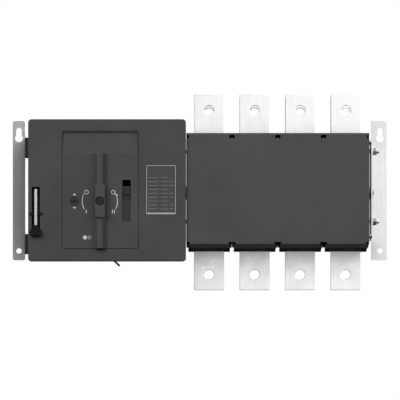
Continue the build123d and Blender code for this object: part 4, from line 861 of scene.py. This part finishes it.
def white_room(brightness_up, brightness_down):
    """A world that shows white and lights the switch mostly from above."""
    world = bpy.data.worlds.new("white_room")
    bpy.context.scene.world = world
    world.use_nodes = True
    tree = world.node_tree
    tree.nodes.clear()
    heading = tree.nodes.new("ShaderNodeTexCoord")
    parts = tree.nodes.new("ShaderNodeSeparateXYZ")
    tree.links.new(heading.outputs["Generated"], parts.inputs[0])
    rise = tree.nodes.new("ShaderNodeMapRange")
    rise.interpolation_type = "SMOOTHSTEP"
    for socket, number in zip(rise.inputs[1:5], (-0.25, 0.45, brightness_down, brightness_up)):
        socket.default_value = number
    tree.links.new(parts.outputs["Z"], rise.inputs[0])
    light = tree.nodes.new("ShaderNodeBackground")
    tree.links.new(rise.outputs[0], light.inputs["Strength"])
    seen = tree.nodes.new("ShaderNodeBackground")
    seen.inputs["Strength"].default_value = 1.0
    seen.inputs["Color"].default_value = (1.0, 1.0, 1.0, 1.0)
    ray = tree.nodes.new("ShaderNodeLightPath")
    pick = tree.nodes.new("ShaderNodeMixShader")
    tree.links.new(ray.outputs["Is Camera Ray"], pick.inputs[0])
    tree.links.new(light.outputs[0], pick.inputs[1])
    tree.links.new(seen.outputs[0], pick.inputs[2])
    out = tree.nodes.new("ShaderNodeOutputWorld")
    tree.links.new(pick.outputs[0], out.inputs["Surface"])


class SWITCH_OT_stage(bpy.types.Operator):
    """Set the pale floor, the soft lights and the camera"""

    bl_idname = "switch.stage"
    bl_label = "Stage"

    def execute(self, context):
        stage = context.scene.switch_stage
        scene = context.scene
        scene.view_settings.view_transform = "Standard"
        low, high = (Vector(corner) for corner in CAD_BOX)
        middle = (low + high) / 2

        extent = 40.0
        floor_mesh = bpy.data.meshes.new("floor")
        z = low.z - stage.floor_drop
        floor_mesh.from_pydata([(-extent, -extent, z), (extent, -extent, z),
                                (extent, extent, z), (-extent, extent, z)], [], [(0, 1, 2, 3)])
        g = Graph("floor_paint")
        tone = g.mix(g.noise(1.5, 2.0), shade(stage.floor_colour, 0.99),
                     shade(stage.floor_colour, 1.01))
        floor_mesh.materials.append(g.finish(tone, 0.9, specular=0.1))
        floor = bpy.data.objects.new("floor", floor_mesh)
        scene.collection.objects.link(floor)
        floor.visible_diffuse = False
        floor.visible_glossy = False

        key = softbox("key_light", (-1.25, -2.1, 0.95), middle, 1.4, 1.4, stage.key_power)
        key.visible_glossy = False
        softbox("fill_light", (1.7, -1.5, 0.9), middle, 1.6, 1.6, stage.key_power * 0.4)
        softbox("top_light", (0.2, 0.3, 2.2), middle, 1.4, 1.4, stage.key_power * 0.35)
        softbox("back_light", (0.9, 1.9, 0.9), middle, 1.6, 1.6, stage.key_power * 0.9)
        card = softbox("metal_card", (0.62, -1.1, 0.0), Vector((0.62, 0.0, 0.0)), 1.68, 1.8,
                       stage.card_power)
        card.visible_diffuse = False
        white_room(brightness_up=0.75, brightness_down=0.04)

        data = bpy.data.cameras.new("camera")
        data.lens = stage.lens
        distance = stage.picture_width * data.lens / data.sensor_width
        camera = bpy.data.objects.new("camera", data)
        scene.collection.objects.link(camera)
        ahead = Vector((0.0, math.cos(stage.tilt), math.sin(stage.tilt)))
        aim = Vector((0.6 * MM, front_of("front_cover"), -22.9 * MM))
        camera.location = aim - ahead * distance
        camera.rotation_euler = ahead.to_track_quat("-Z", "Y").to_euler()
        data.clip_start = 0.5
        data.clip_end = 2 * distance
        scene.camera = camera
        return {"FINISHED"}


STEPS = (SWITCH_OT_cover, SWITCH_OT_poles, SWITCH_OT_handle, SWITCH_OT_controls, SWITCH_OT_bars,
         SWITCH_OT_sheet, SWITCH_OT_fasteners, SWITCH_OT_mechanism, SWITCH_OT_marks,
         SWITCH_OT_plate, SWITCH_OT_stage)
SETTINGS = {
    "switch_mouldings": MouldingSettings,
    "switch_metal": MetalSettings,
    "switch_print": PrintSettings,
    "switch_stage": StageSettings,
}


class SWITCH_PT_sidebar(bpy.types.Panel):
    """Lists the settings and the steps that finish the switch"""

    bl_idname = "SWITCH_PT_sidebar"
    bl_label = "Transfer switch"
    bl_space_type = "VIEW_3D"
    bl_region_type = "UI"
    bl_category = "Transfer switch"

    def draw(self, context):
        for name, group in SETTINGS.items():
            box = self.layout.box()
            for prop in group.__annotations__:
                box.prop(getattr(context.scene, name), prop)
        for step in STEPS:
            self.layout.operator(step.bl_idname)


CLASSES = (*SETTINGS.values(), *STEPS, SWITCH_PT_sidebar)


def register():
    """Adds the classes and their settings to Blender."""
    for cls in CLASSES:
        bpy.utils.register_class(cls)
    for name, group in SETTINGS.items():
        setattr(bpy.types.Scene, name, bpy.props.PointerProperty(type=group))


def unregister():
    """Takes the settings and classes out of Blender again."""
    for name in SETTINGS:
        delattr(bpy.types.Scene, name)
    for cls in reversed(CLASSES):
        bpy.utils.unregister_class(cls)


def main():
    """Finishes the switch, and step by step."""
    register()
    bpy.ops.switch.cover()
    bpy.ops.switch.poles()
    bpy.ops.switch.handle()
    bpy.ops.switch.controls()
    bpy.ops.switch.bars()
    bpy.ops.switch.sheet()
    bpy.ops.switch.fasteners()
    bpy.ops.switch.mechanism()
    bpy.ops.switch.marks()
    bpy.ops.switch.plate()
    bpy.ops.switch.stage()


if __name__ == "__main__":
    main()
